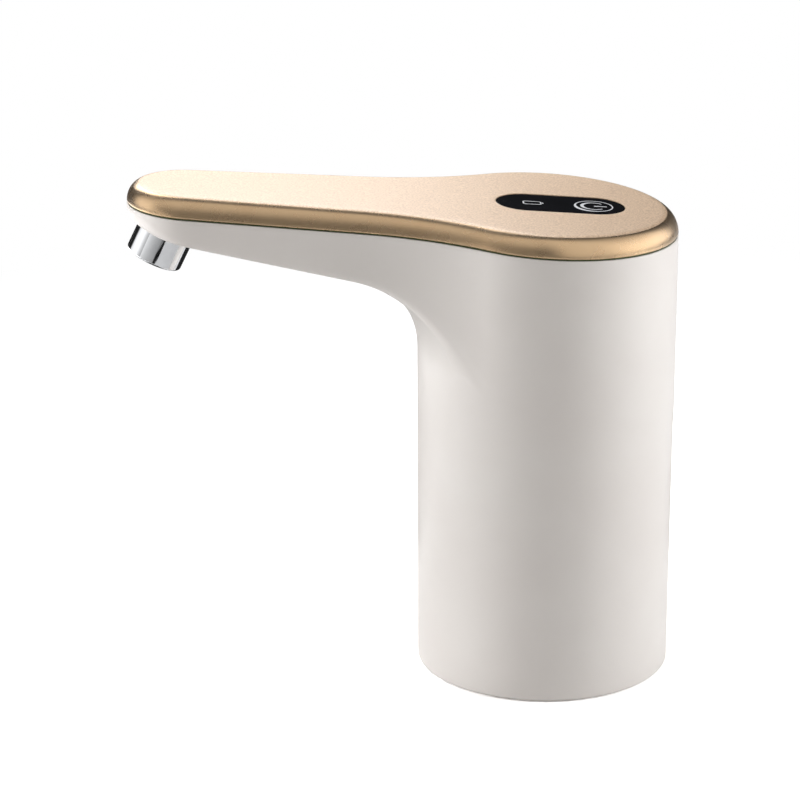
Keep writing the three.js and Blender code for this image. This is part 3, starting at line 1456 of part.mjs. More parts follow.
const nozzleGroup = group(-nozzleReach, 0, nozzleHeight);
nozzleGroup.rotation.y = nozzleTilt;
add(nozzleGroup, 'nozzle_sleeve', nozzleSleeve(), chrome);
add(nozzleGroup, 'aerator_insert', aeratorInsert(), whiteNylon);
add(nozzleGroup, 'outlet_fitting', outletFitting(), whiteNylon);

add(product, 'battery_cell', batteryCell(), blueWrap, batteryOffset, 0, chassisTop);
add(product, 'charge_board', chargeBoard(), boardGreen, chargeBoardPlace, 0, chassisTop);
add(product, 'usb_socket', usbSocket(), steel, chargeBoardPlace + chargeBoardThickness, 0, usbHeight);

export default product;
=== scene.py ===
import json
import math

import bmesh
import bpy
from mathutils import Matrix, Vector

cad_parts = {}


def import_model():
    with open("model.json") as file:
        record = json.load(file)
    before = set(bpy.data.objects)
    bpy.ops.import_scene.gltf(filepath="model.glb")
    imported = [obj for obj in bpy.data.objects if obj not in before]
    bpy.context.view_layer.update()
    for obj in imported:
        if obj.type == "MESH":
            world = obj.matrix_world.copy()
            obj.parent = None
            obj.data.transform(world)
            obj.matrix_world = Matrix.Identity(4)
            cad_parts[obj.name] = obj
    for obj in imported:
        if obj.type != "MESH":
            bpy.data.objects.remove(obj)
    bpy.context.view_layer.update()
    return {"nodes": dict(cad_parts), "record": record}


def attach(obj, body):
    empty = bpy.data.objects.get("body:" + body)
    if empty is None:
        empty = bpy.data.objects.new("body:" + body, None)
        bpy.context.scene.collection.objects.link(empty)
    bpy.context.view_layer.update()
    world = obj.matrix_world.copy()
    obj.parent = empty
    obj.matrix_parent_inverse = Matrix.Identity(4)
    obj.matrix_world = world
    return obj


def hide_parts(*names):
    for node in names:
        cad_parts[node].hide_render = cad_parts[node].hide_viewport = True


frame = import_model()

MM = 0.001

# Housing outline at the seam, the same driving sizes as the CAD source, in millimetres
HEAD_RADIUS = 38.0
BASE_RADIUS = 37.5
TIP_DISTANCE = 103.3
TIP_RADIUS = 18.8
WAIST_RADIUS = 83.6
SIDE_TAPER = math.radians(4.09)
TIP_STEPS = 44
SIDE_STEPS = 26
WAIST_STEPS = 64
HEAD_STEPS = 72

# Housing heights and walls
SEAM_HEIGHT = 134.95
SEAM_SLOPE = 0.0598
ARM_DEPTH = 22.3
TIP_DEPTH = 8.02
ARM_HEIGHT = SEAM_HEIGHT - ARM_DEPTH
ARM_SLOPE = SEAM_SLOPE + (ARM_DEPTH - TIP_DEPTH) / TIP_DISTANCE
WALL = 2.2
BASE_EDGE = 1.2
BLEND_RADIUS = 27.0
ARM_EDGE = 2.6
TIP_EDGE = 7.0
EDGE_HEIGHT_SHARE = 0.8
EDGE_REACH_SHARE = 0.85
LEAST_ROOM = 0.001
SEAM_EDGE = 0.25
SEAM_EDGE_START = 0.3

# Steps along each stretch of the housing's skin, and how densely its rows lie there
BASE_STRETCH = (8, 6)
WALL_STRETCH = (24, 1)
BLEND_STRETCH = (48, 1.6)
FLOOR_STRETCH = (24, 1.2)
EDGE_STRETCH = (24, 7)
LAND_STRETCH = (12, 1.5)
OUTER_ROWS = 150
INNER_ROWS = 60

# Top cover: its edge is a quarter of an ellipse, satin up to an angle in degrees and grained above it
SEAM_GAP = 0.4
COVER_HEIGHT = 5.85
COVER_ROOF = 2.0
COVER_EDGE = 5.0
COVER_RAISE = 0.12
COVER_LIP = ((0.25, 0.0), (0.07, 0.06))
COVER_INNER = 3.1
COVER_TOP = SEAM_GAP + COVER_HEIGHT
EDGE_BEGIN = 3
SATIN_END = 71.0
GRAIN_BEGIN = SATIN_END + 0.6
SATIN_STEPS = 20
GRAIN_STEPS = 12
TOP_MARGIN = 0.12
TOP_STEPS = 12

# Seal in the seam. Its dark olive colour is partly the seal's own colour and partly painted shade of the gap
# in the seam
SEAL_INSET = 0.2
SEAL_EDGE = 0.05
SEAL_BOTTOM = 0.04
SEAL_SIDE = (0.1, SEAM_GAP + 0.04)
SEAL_TOP = SEAM_GAP + 0.09

# Touch window and its pocket in the cover
PANEL_RISE = -0.15
PANEL_LENGTH = 37.5
PANEL_WIDTH = 18.0
PANEL_CENTRE = 3.6
PANEL_GAP = 0.15
PANEL_LEDGE = 1.6
PANEL_DEPTH = 0.6
PANEL_TOP = COVER_TOP + PANEL_RISE
PANEL_STEPS = 40
PANEL_FOOT = 0.1
PANEL_EDGE = ((0.0, 0.06), (0.02, 0.02), (0.06, 0.0), (0.12, 0.0), (4.0, 0.0))
POCKET_MARGIN = 0.5
POCKET_EDGE = 0.05
POCKET_EDGE_BAND = 0.3
HALVINGS = 40

# Printed signs on the window
PRINT_HALF = 0.02
BATTERY_SIGN = (5.1, 3.0, 0.7)
BATTERY_CENTRE = -4.6
BATTERY_LINES = (0.3, 0.42)
BATTERY_TIP = ((-1.7, 1.3), (-1.35, 0.9))
POWER_CENTRE = 13.3
RING_RADIUS = 5.45
RING_STEPS = 96
RING_LINE = 0.34
RING_SWELL = 0.75
RING_SWELL_ANGLE = math.radians(228)
RING_SWELL_POWER = 2.5
BOW_RADIUS = 3.45
BOW_GAP = 48
BOW_STEPS = 60
BOW_LINE = 0.42
BOW_SWELL = 0.6
BOW_SWELL_POWER = 1.5
BAR_START = 0.1
BAR_LENGTH = 3.7
BAR_STEPS = 8
BAR_LINE = 0.8
BAR_THINNING = 0.035

# Nozzle
NOZZLE_TILT = math.radians(25.5)
NOZZLE_REACH = 114.8
NOZZLE_HEIGHT = 125.0
NOZZLE_CLEARANCE = 0.12
SLEEVE_RADIUS = 8.4
SLEEVE_WALL = 1.1
SLEEVE_LENGTH = 11.6
SLEEVE_EDGE = 0.7
SLEEVE_LIP = 0.8
SLEEVE_LIP_HEIGHT = 0.9
MOUTH_EDGE = ((0.0, 0.25), (0.08, 0.07), (0.25, 0.0))
AERATOR_THICKNESS = 2.2
AERATOR_GAP = 0.3
AERATOR_PLAY = 0.1
AERATOR_HOLE = 0.8
AERATOR_PITCH = 2.5
AERATOR_ROWS = (6, 12)
CUT_OVERRUN = 2.0

# Collar of the base
SOCKET_RADIUS = 28.7
SOCKET_WALL = 1.9
SOCKET_DEPTH = 30.0
SOCKET_ROUND = 1.0
CEILING = 2.5
CEILING_HOLE = 5.0
FLANGE_RECESS = 0.8
FLANGE_RADIUS = 35.0
FLANGE_THICKNESS = 2.6
FLANGE_EDGE = 0.3

# Neck seal, with the section of a lip as (reach, rise)
NECK_SEAL_GAP = 0.15
NECK_SEAL_WALL = 0.85
NECK_SEAL_LENGTH = 22.0
NECK_SEAL_TOP = 1.4
NECK_SEAL_SHOULDER = 4.4
NECK_SEAL_EDGE = 0.3
NECK_SEAL_BEVEL = 0.2
NECK_SEAL_FILLET = 0.4
LIP_SECTION = ((0.0, 1.25), (0.6, 1.25), (0.9, 1.1), (0.85, 0.8), (0.3, 0.0), (0.0, -0.6))

# Hose spigot, with a barb as (reach, rise) and its upper part as (radius, height)
SPIGOT_DROP = 16.0
SPIGOT_FOOT = SOCKET_DEPTH - SPIGOT_DROP
SPIGOT_BORE = 2.0
SPIGOT_RADIUS = 3.0
SPIGOT_EDGE = 0.3
BARB_PITCH = 5
BARB_SECTION = ((0.45, 4.6), (0.5, 4.9), (0.0, 5.0))
SPIGOT_UPPER = (
    (3.0, 29.2), (4.5, 29.2), (4.5, 32.5), (9.0, 32.5), (9.0, 34.5), (4.0, 34.5), (4.0, 37.0), (2.5, 37.0),
    (2.5, 46.0), (2.0, 46.0),
)

# Screws of the base and the chassis
SCREW_CIRCLE = 33.3
SCREW_ANGLES = (45, 135, 225, 315)
SCREW_HEAD = 1.8
SCREW_HEAD_HEIGHT = 1.0
SCREW_SHANK = 1.0
SCREW_HOLE_GAP = 0.1
SCREW_HOLE_TOP = FLANGE_RECESS + 1.1
CHASSIS_SCREW_OFFSET = 18.0
CHASSIS_SCREW_HEAD = 2.4
CHASSIS_SCREW_HEAD_HEIGHT = 1.6
CHASSIS_SCREW_SHANK = 1.25
SCREW_LENGTH = 14.0
SCREW_DOME_SHARE = 0.45
SCREW_DOME_STEPS = 8
SCREW_STEPS = 40
RECESS_ARM_SHARE = 0.6
RECESS_SLOT_SHARE = 0.14
RECESS_DEPTH_SHARE = 0.6
RECESS_OVERRUN = 1

# Charging socket
USB_HEIGHT = 60.0
USB_WIDTH = 8.9
USB_DEPTH = 3.2
USB_CORNER = 1.4
USB_LENGTH = 5.6
USB_SHELL = 0.35
USB_EDGE = 0.08
USB_BACK = 1.0
USB_GAP = 0.3
USB_RECESS = 1.4
USB_WALL = 37.72
USB_MOUTH = USB_WALL - USB_RECESS
USB_STEPS = 10
SLOT_CUT = (BASE_RADIUS - 5, BASE_RADIUS + 3)
TONGUE_HALF_WIDTH = 3.2
TONGUE_HALF_HEIGHT = 0.4
TONGUE_SETBACK = 0.7

# Pump diaphragm: sleeves that stay still, and cups that rock with the wobble plate, in section from the
# middle of the plate as (radius, height)
PLATE_CENTRE = (-18.6, 0.0, 83.6)
PLATE_TILT = math.radians(7)
CHAMBER_CIRCLE = 8.0
CHAMBER_ANGLES = (60, 180, 300)
SLEEVE_BORE = 2.8
SLEEVE_MOUTH = 86.05
SLEEVE_CUT = 10
SHEET_CUT = 20.0
CUP_SECTION = ((1.0, -0.9), (1.0, 0.95), (2.0, 0.95), (2.5, 1.3), (2.0, 4.2), (1.4, 4.2), (1.6, 1.9))
CUP_STEPS = 48
MERGE_DISTANCE = 0.001

# Angle between faces in degrees from which their edge is sharp
FINE_SHARP = 30.0
COVER_SHARP = 32.0
PART_SHARP = 35.0
ROUND_SHARP = 40.0
SOFT_SHARP = 50.0

# Steps round turned pieces and holes
ROUND_STEPS = 144
SLEEVE_STEPS = 160
AERATOR_STEPS = 96
AERATOR_HOLE_STEPS = 20
SPIGOT_STEPS = 64
HOLE_STEPS = 32

CORNERS = ((-1, -1), (1, -1), (1, 1), (-1, 1))


def srgb(red, green, blue, alpha=1.0):
    def linear(value):
        value /= 255
        return value / 12.92 if value <= 0.04045 else ((value + 0.055) / 1.055) ** 2.4
    return (linear(red), linear(green), linear(blue), alpha)


# Materials. The values of the noise lie mostly between these two
NOISE_LOW = 0.3
NOISE_HIGH = 0.7


class Nodes:
    """A small helper round one material's node tree."""

    def __init__(self, name):
        self.material = bpy.data.materials.new(name)
        self.material.use_nodes = True
        self.tree = self.material.node_tree
        self.shader = self.tree.nodes["Principled BSDF"]
        self.place = self.tree.nodes.new("ShaderNodeTexCoord").outputs["Object"]

    def link(self, source, socket):
        self.tree.links.new(source, socket)

    def noise(self, size, detail=2.0, roughness=0.5, stretch=(1, 1, 1)):
        """Noise whose grains are about size millimetres across."""
        place = self.place
        if stretch != (1, 1, 1):
            mapping = self.tree.nodes.new("ShaderNodeMapping")
            mapping.inputs["Scale"].default_value = stretch
            self.link(place, mapping.inputs["Vector"])
            place = mapping.outputs["Vector"]
        node = self.tree.nodes.new("ShaderNodeTexNoise")
        node.inputs["Scale"].default_value = 1 / (size * MM)
        node.inputs["Detail"].default_value = detail
        node.inputs["Roughness"].default_value = roughness
        self.link(place, node.inputs["Vector"])
        return node.outputs["Fac"]

    def ramp(self, value, low_colour, high_colour, low=NOISE_LOW, high=NOISE_HIGH):
        node = self.tree.nodes.new("ShaderNodeValToRGB")
        first, last = node.color_ramp.elements
        first.position, last.position = low, high
        first.color, last.color = low_colour, high_colour
        self.link(value, node.inputs["Fac"])
        return node.outputs["Color"]

    def spread(self, value, low, high, value_low=NOISE_LOW, value_high=NOISE_HIGH):
        node = self.tree.nodes.new("ShaderNodeMapRange")
        node.inputs["From Min"].default_value = value_low
        node.inputs["From Max"].default_value = value_high
        node.inputs["To Min"].default_value = low
        node.inputs["To Max"].default_value = high
        self.link(value, node.inputs["Value"])
        return node.outputs["Result"]

    def mix(self, factor, first, second, data_type="FLOAT"):
        node = self.tree.nodes.new("ShaderNodeMix")
        node.data_type = data_type
        self.link(factor, node.inputs["Factor"])
        self.link(first, node.inputs["A"])
        self.link(second, node.inputs["B"])
        return node.outputs["Result"]

    def calculate(self, operation, first, second):
        """The result of an operation on two values, each a socket or a plain number."""
        node = self.tree.nodes.new("ShaderNodeMath")
        node.operation = operation
        for socket, value in zip(node.inputs, (first, second)):
            if isinstance(value, float):
                socket.default_value = value
            else:
                self.link(value, socket)
        return node.outputs[0]

    def attribute(self, name):
        node = self.tree.nodes.new("ShaderNodeAttribute")
        node.attribute_name = name
        return node.outputs["Fac"]

    def bump(self, value, depth, strength=1.0):
        """Bump of depth millimetres."""
        node = self.tree.nodes.new("ShaderNodeBump")
        node.inputs["Distance"].default_value = depth * MM
        node.inputs["Strength"].default_value = strength
        self.link(value, node.inputs["Height"])
        self.link(node.outputs["Normal"], self.shader.inputs["Normal"])

    def set(self, **values):
        for name, value in values.items():
            self.shader.inputs[name.replace("_", " ")].default_value = value


def white_plastic():
    n = Nodes("white_plastic")
    n.set(Metallic=0.0, IOR=1.46)
    cloud = n.noise(35.0, 3.0)
    n.link(n.ramp(cloud, srgb(219, 213, 208), srgb(223, 218, 213)), n.shader.inputs["Base Color"])
    n.link(n.spread(n.noise(4.0), 0.34, 0.40), n.shader.inputs["Roughness"])
    n.bump(n.noise(0.45, 3.0), 0.0022)
    return n.material


def gold_paint():
    """The cover's top has a fine blasted grain, and its rounded edge, the band, a smooth satin."""
    n = Nodes("gold_cover")
    n.set(Coat_Weight=1.0, Coat_Roughness=0.4, Coat_IOR=1.6)
    band = n.attribute("band")
    grain = n.noise(0.55, 2.0, 0.6)
    satin = n.noise(6.0, 2.0, 0.5)
    top = n.ramp(grain, srgb(206, 174, 141), srgb(240, 211, 180), 0.36, 0.64)
    side = n.ramp(satin, srgb(208, 173, 130), srgb(212, 178, 135))
    n.link(n.mix(band, top, side, "RGBA"), n.shader.inputs["Base Color"])
    rough = n.mix(band, n.spread(grain, 0.52, 0.64), n.spread(satin, 0.265, 0.285))
    n.link(rough, n.shader.inputs["Roughness"])
    n.link(n.spread(band, 0.4, 0.95, 0.0, 1.0), n.shader.inputs["Metallic"])
    centred = n.calculate("SUBTRACT", grain, 0.5)
    n.bump(n.calculate("MULTIPLY", centred, n.calculate("SUBTRACT", 1.0, band)), 0.07, 0.8)
    return n.material


def plain_material(name, dark, light, size, roughness, metallic=0.0, bump=0.0, stretch=(1, 1, 1)):
    n = Nodes(name)
    n.set(Metallic=metallic)
    noise = n.noise(size, 3.0, 0.55, stretch)
    n.link(n.ramp(noise, srgb(*dark), srgb(*light)), n.shader.inputs["Base Color"])
    n.link(n.spread(noise, *roughness), n.shader.inputs["Roughness"])
    if bump:
        n.bump(noise, bump)
    return n.material


# Name, dark and light colour, size of the grain in millimetres, least and most roughness, then how
# metallic it is, the bump in millimetres and the grain's stretch
PLAIN_MATERIALS = (
    ("touch_glass", (15, 16, 20), (19, 20, 25), 9.0, (0.06, 0.1)),
    # cover_seal: dark olive, partly the seal's own colour and partly painted shade of the seam gap
    ("cover_seal", (52, 58, 30), (64, 69, 40), 1.5, (0.55, 0.7), 0.0, 0.01),
    ("clear_silicone", (206, 210, 208), (224, 227, 225), 6.0, (0.35, 0.5)),
    ("grey_plastic", (84, 86, 90), (98, 100, 104), 2.0, (0.45, 0.6), 0.0, 0.01),
    ("chrome_sleeve", (226, 227, 229), (234, 235, 237), 3.0, (0.05, 0.08), 1.0),
    ("steel", (150, 153, 157), (176, 179, 183), 0.8, (0.25, 0.4), 1.0, 0.004, (1, 1, 0.1)),
    ("zinc_plate", (168, 171, 174), (196, 198, 199), 0.9, (0.28, 0.42), 0.9, 0.004),
    ("brass", (172, 132, 66), (196, 156, 84), 1.0, (0.3, 0.42), 1.0, 0.004),
    ("copper", (150, 74, 38), (190, 104, 58), 0.5, (0.3, 0.45), 0.9, 0.05, (1, 1, 0.1)),
    ("ferrite", (38, 38, 40), (56, 56, 58), 0.6, (0.6, 0.8), 0.0, 0.02),
    ("board_green", (24, 84, 52), (32, 100, 62), 2.0, (0.3, 0.45), 0.0, 0.01),
    ("black_nylon", (26, 26, 28), (36, 36, 38), 0.8, (0.45, 0.6), 0.0, 0.01),
    ("white_nylon", (218, 216, 208), (230, 228, 221), 2.0, (0.4, 0.52), 0.0, 0.01),
    ("diaphragm_rubber", (30, 30, 31), (42, 42, 43), 0.8, (0.6, 0.75), 0.0, 0.01),
    ("battery_wrap", (40, 88, 162), (52, 102, 178), 4.0, (0.3, 0.4)),
    ("print_white", (214, 216, 220), (232, 233, 236), 0.8, (0.4, 0.5)),
    ("screw_steel", (158, 160, 163), (190, 192, 194), 0.7, (0.25, 0.4), 1.0, 0.004),
)
MATERIALS = {"white_plastic": white_plastic(), "gold_cover": gold_paint()}
for row in PLAIN_MATERIALS:
    MATERIALS[row[0]] = plain_material(*row)


# Mesh helpers
def closed_mesh(name, points, faces):
    """Mesh of a closed solid from points in millimetres, with its faces turned outward."""
    mesh = bpy.data.meshes.new(name)
    mesh.from_pydata([Vector(p) * MM for p in points], [], faces)
    edit = bmesh.new()
    edit.from_mesh(mesh)
    bmesh.ops.recalc_face_normals(edit, faces=edit.faces)
    edit.to_mesh(mesh)
    edit.free()
    return mesh


def smooth(mesh, sharp):
    mesh.shade_smooth()
    mesh.set_sharp_from_angle(angle=math.radians(sharp))


def piece(name, solid, material, nodes=(), sharp=ROUND_SHARP, bands=None, body="root"):
    """A visible piece from a solid. It rides on the body and replaces the CAD nodes named."""
    mesh = closed_mesh(name, *solid)
    if bands:
        layer = mesh.attributes.new("band", "FLOAT", "POINT")
        layer.data.foreach_set("value", bands)
    mesh.materials.append(MATERIALS[material])
    smooth(mesh, sharp)
    thing = bpy.data.objects.new(name, mesh)
    bpy.context.scene.collection.objects.link(thing)
    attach(thing, body)
    if nodes:
        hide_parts(*nodes)
    return thing


def circle(radius, height, steps, x=0.0, y=0.0):
    angles = [2 * math.pi * i / steps for i in range(steps)]
    return [(x + radius * math.cos(a), y + radius * math.sin(a), height) for a in angles]


def loft(rings, closed=True):
    """Points and faces of rings of equally many points, closed like a torus or capped at both ends."""
    count = len(rings[0])
    points = [p for ring in rings for p in ring]
    faces = []
    for i in range(len(rings) if closed else len(rings) - 1):
        low, high = i * count, ((i + 1) % len(rings)) * count
        for j in range(count):
            k = (j + 1) % count
            faces.append((low + j, low + k, high + k, high + j))
    if not closed:
        faces.append(tuple(reversed(range(count))))
        faces.append(tuple(range((len(rings) - 1) * count, len(rings) * count)))
    return points, faces


def turned(profile, steps):
    """A closed profile of (radius, height) turned about Z."""
    return loft([circle(radius, height, steps) for radius, height in profile])


def joined(solids):
    """Points and faces of several solids in one."""
    points, faces = [], []
    for more_points, more_faces in solids:
        shift = len(points)
        points += more_points
        faces += [tuple(shift + i for i in face) for face in more_faces]
    return points, faces


def rods(places, radius, low, high, steps=HOLE_STEPS):
    """Upright rods at places, for a disc or for holes to cut."""
    return joined(
        loft([circle(radius, z, steps, x, y) for z in (low, high)], closed=False) for x, y in places
    )


def arc(centre, radius, start, end, steps):
    """Points of an arc in the plane of a profile, from start to end in degrees."""
    result = []
    for i in range(steps + 1):
        angle = math.radians(start + (end - start) * i / steps)
        result.append((centre[0] + radius * math.cos(angle), centre[1] + radius * math.sin(angle)))
    return result


def stadium(length, width, radius, steps):
    """Rounded rectangle in the plane, as points, with steps to a corner."""
    points = []
    for side_x, side_y, start in ((1, 1, 0), (-1, 1, 90), (-1, -1, 180), (1, -1, 270)):
        centre = (side_x * (length / 2 - radius), side_y * (width / 2 - radius))
        points += arc(centre, radius, start, start + 90, steps)
    return points


def cut_away(thing, solid, sharp):
    """Cuts a solid out of a piece."""
    mesh = closed_mesh("cutter", *solid)
    cutter = bpy.data.objects.new("cutter", mesh)
    bpy.context.scene.collection.objects.link(cutter)
    modifier = thing.modifiers.new("cut", "BOOLEAN")
    modifier.operation = "DIFFERENCE"
    modifier.solver = "EXACT"
    modifier.object = cutter
    bpy.context.view_layer.update()
    evaluated = thing.evaluated_get(bpy.context.evaluated_depsgraph_get())
    result = bpy.data.meshes.new_from_object(evaluated)
    old = thing.data
    thing.modifiers.remove(modifier)
    thing.data = result
    result.name = old.name
    bpy.data.meshes.remove(old)
    bpy.data.objects.remove(cutter)
    bpy.data.meshes.remove(mesh)
    smooth(result, sharp)


# Teardrop outline: tip arc, tapering side, hollow waist and head arc, mirrored in Y
def outline(inset):
    head, tip, waist = HEAD_RADIUS - inset, TIP_RADIUS - inset, WAIST_RADIUS + inset
    normal = Vector((-math.sin(SIDE_TAPER), -math.cos(SIDE_TAPER)))
    along = Vector((math.cos(SIDE_TAPER), -math.sin(SIDE_TAPER)))
    tip_centre = Vector((-TIP_DISTANCE, 0))
    side_start = tip_centre + normal * tip
    reach = side_start + normal * waist
    shift = reach.dot(along)
    run = -shift - math.sqrt(shift * shift - reach.length_squared + (head + waist) ** 2)
    side_end = side_start + along * run
    waist_centre = reach + along * run
    half = []

    def sweep(centre, radius, start, end, steps):
        for i in range(steps):
            angle = start + (end - start) * i / steps
            half.append(Vector((centre.x + radius * math.cos(angle), centre.y + radius * math.sin(angle))))

    sweep(tip_centre, tip, math.pi, 1.5 * math.pi - SIDE_TAPER, TIP_STEPS)
    for i in range(SIDE_STEPS):
        half.append(side_start.lerp(side_end, i / SIDE_STEPS))
    waist_end = math.atan2(-waist_centre.y, -waist_centre.x)
    sweep(waist_centre, waist, 0.5 * math.pi - SIDE_TAPER, waist_end, WAIST_STEPS)
    start = math.atan2(waist_centre.y, waist_centre.x) % (2 * math.pi)
    sweep(Vector((0, 0)), head, start, 2 * math.pi, HEAD_STEPS)
    mirrored = [Vector((p.x, -p.y)) for p in reversed(half[1:])]
    return half + [Vector((head, 0))] + mirrored


def seam_at(x):
    return SEAM_HEIGHT - SEAM_SLOPE * x


def cone_radius(height):
    return BASE_RADIUS + (HEAD_RADIUS - BASE_RADIUS) * height / SEAM_HEIGHT


def spoke_path(point, inset, edge, lift):
    """Skin over one point of the housing's outline, from the base to the seam, as (radius, height, weight).

    Radii are measured from the round wall, so that the skin runs into it with no step."""
    reach = point.length
    slope = -ARM_SLOPE * point.x / reach
    lean = math.hypot(1, slope)
    wall = cone_radius(ARM_HEIGHT) - inset
    blend = BLEND_RADIUS + inset
    centre = wall + blend
    centre_height = ARM_HEIGHT + slope * centre - BLEND_RADIUS * lean
    tangent = centre - blend * slope / lean
    room = max(reach - (HEAD_RADIUS - inset), LEAST_ROOM)

    def under(r):
        if r > tangent:
            return ARM_HEIGHT + inset * lean + slope * r
        return centre_height + math.sqrt(max(blend ** 2 - (centre - max(r, wall)) ** 2, 0))

    def skin(out, height):
        return cone_radius(height) - inset + out

    top = seam_at(point.x) + lift
    past = max((-point.x - TIP_DISTANCE) / TIP_RADIUS, 0)
    rounding = ARM_EDGE + (TIP_EDGE - ARM_EDGE) * min(past, 1) ** 2
    end = wall + room
    edge_reach = min(rounding, room * EDGE_REACH_SHARE)
    edge_rise = min(rounding, (seam_at(point.x) - under(end)) * EDGE_HEIGHT_SHARE)
    start = end - edge_reach
    path = []
    steps, weight = BASE_STRETCH
    for i in range(steps + 1 if edge > 0 else 0):
        angle = math.radians(90 * i / steps)
        base = cone_radius(0) - inset
        path.append((base - edge * (1 - math.sin(angle)), edge * (1 - math.cos(angle)), weight))
    steps, weight = WALL_STRETCH
    for i in range(steps + 1):
        height = edge + (centre_height - edge) * i / steps
        path.append((skin(0, height), height, weight))
    bend_end = min(start, tangent)
    turn = math.acos(max(min((centre - bend_end) / blend, 1), -1))
    steps, weight = BLEND_STRETCH
    for i in range(1, steps + 1):
        angle = turn * i / steps
        out, height = centre - blend * math.cos(angle) - wall, centre_height + blend * math.sin(angle)
        path.append((skin(out, height), height, weight))
    steps, weight = FLOOR_STRETCH
    for i in range(1, steps + 1):
        r = bend_end + (start - bend_end) * i / steps
        path.append((skin(r - wall, under(r)), under(r), weight))
    corner = under(end)
    steps, weight = EDGE_STRETCH
    for i in range(1, steps + 1):
        t = i / steps
        a, b, c = (1 - t) ** 2, 2 * t * (1 - t), t * t
        r = a * start + b * end + c * end
        height = a * under(start) + b * corner + c * (corner + edge_rise)
        path.append((skin(r - wall, height), height, weight))
    low = corner + edge_rise
    steps, weight = LAND_STRETCH
    for i in range(1, steps + 1):
        path.append((HEAD_RADIUS - inset + room, low + (top - low) * i / steps, weight))
    return path


def resample(path, rows):
    """Rows of points along a path, closer together where its weight is high."""
    lengths = [0.0]
    for (r0, z0, _), (r1, z1, weight) in zip(path, path[1:]):
        lengths.append(lengths[-1] + math.hypot(r1 - r0, z1 - z0) * weight)
    result = []
    at = 0
    for i in range(rows):
        wanted = lengths[-1] * i / (rows - 1)
        while at < len(lengths) - 2 and lengths[at + 1] < wanted:
            at += 1
        span = lengths[at + 1] - lengths[at]
        t = max(0, min((wanted - lengths[at]) / span, 1)) if span > 0 else 0
        (r0, z0, _), (r1, z1, _) = path[at], path[at + 1]
        result.append((r0 + (r1 - r0) * t, z0 + (z1 - z0) * t))
    return result


def skin_rows(inset, rows, edge, lift):
    """Rings of the housing's skin from the base to the seam."""
    columns = []
    for point in outline(inset):
        unit = point.normalized()
        path = resample(spoke_path(point, inset, edge, lift), rows)
        columns.append([(unit.x * r, unit.y * r, z) for r, z in path])
    return [[column[row] for column in columns] for row in range(rows)]


NOZZLE_FRAME = Matrix.Translation((-NOZZLE_REACH, 0, NOZZLE_HEIGHT)) @ Matrix.Rotation(NOZZLE_TILT, 4, "Y")


def in_nozzle_frame(solid):
    points, faces = solid
    return [NOZZLE_FRAME @ Vector(p) for p in points], faces


def housing():
    outer = skin_rows(0.0, OUTER_ROWS, BASE_EDGE, -SEAM_EDGE)
    land = []
    for inset, drop in ((SEAM_EDGE * SEAM_EDGE_START, SEAM_EDGE * SEAM_EDGE_START), (SEAM_EDGE, 0.0)):
        land.append([(p.x, p.y, seam_at(p.x) - drop) for p in outline(inset)])
    inner = skin_rows(WALL, INNER_ROWS, 0.0, 0.0)
    skin = loft(outer + land + inner[::-1])
    shell = piece("housing_shell", skin, "white_plastic", ["main_housing"], FINE_SHARP)
    seat = rods([(0.0, 0.0)], SLEEVE_RADIUS + NOZZLE_CLEARANCE, -CUT_OVERRUN, SLEEVE_LENGTH, ROUND_STEPS)
    cut_away(shell, in_nozzle_frame(seat), FINE_SHARP)
    slot = stadium(USB_WIDTH + USB_GAP * 2, USB_DEPTH + USB_GAP * 2, USB_CORNER + USB_GAP, USB_STEPS)
    rings = [[(x, y, USB_HEIGHT + z) for y, z in slot] for x in SLOT_CUT]
    cut_away(shell, loft(rings, closed=False), FINE_SHARP)


# Top cover, drawn level and then sheared onto the seam's slope
def on_seam(solid):
    points, faces = solid
    return [(x, y, z + seam_at(x)) for x, y, z in points], faces


def ray_to_stadium(direction, length, width, centre):
    """Where a ray from the origin meets a stadium on the X axis."""
    radius = width / 2
    half = length / 2 - radius
    low, high = 0.0, length + abs(centre)
    for _ in range(HALVINGS):
        middle = (low + high) / 2
        x, y = direction.x * middle - centre, direction.y * middle
        if math.hypot(max(abs(x) - half, 0), y) < radius:
            low = middle
        else:
            high = middle
    return direction * low


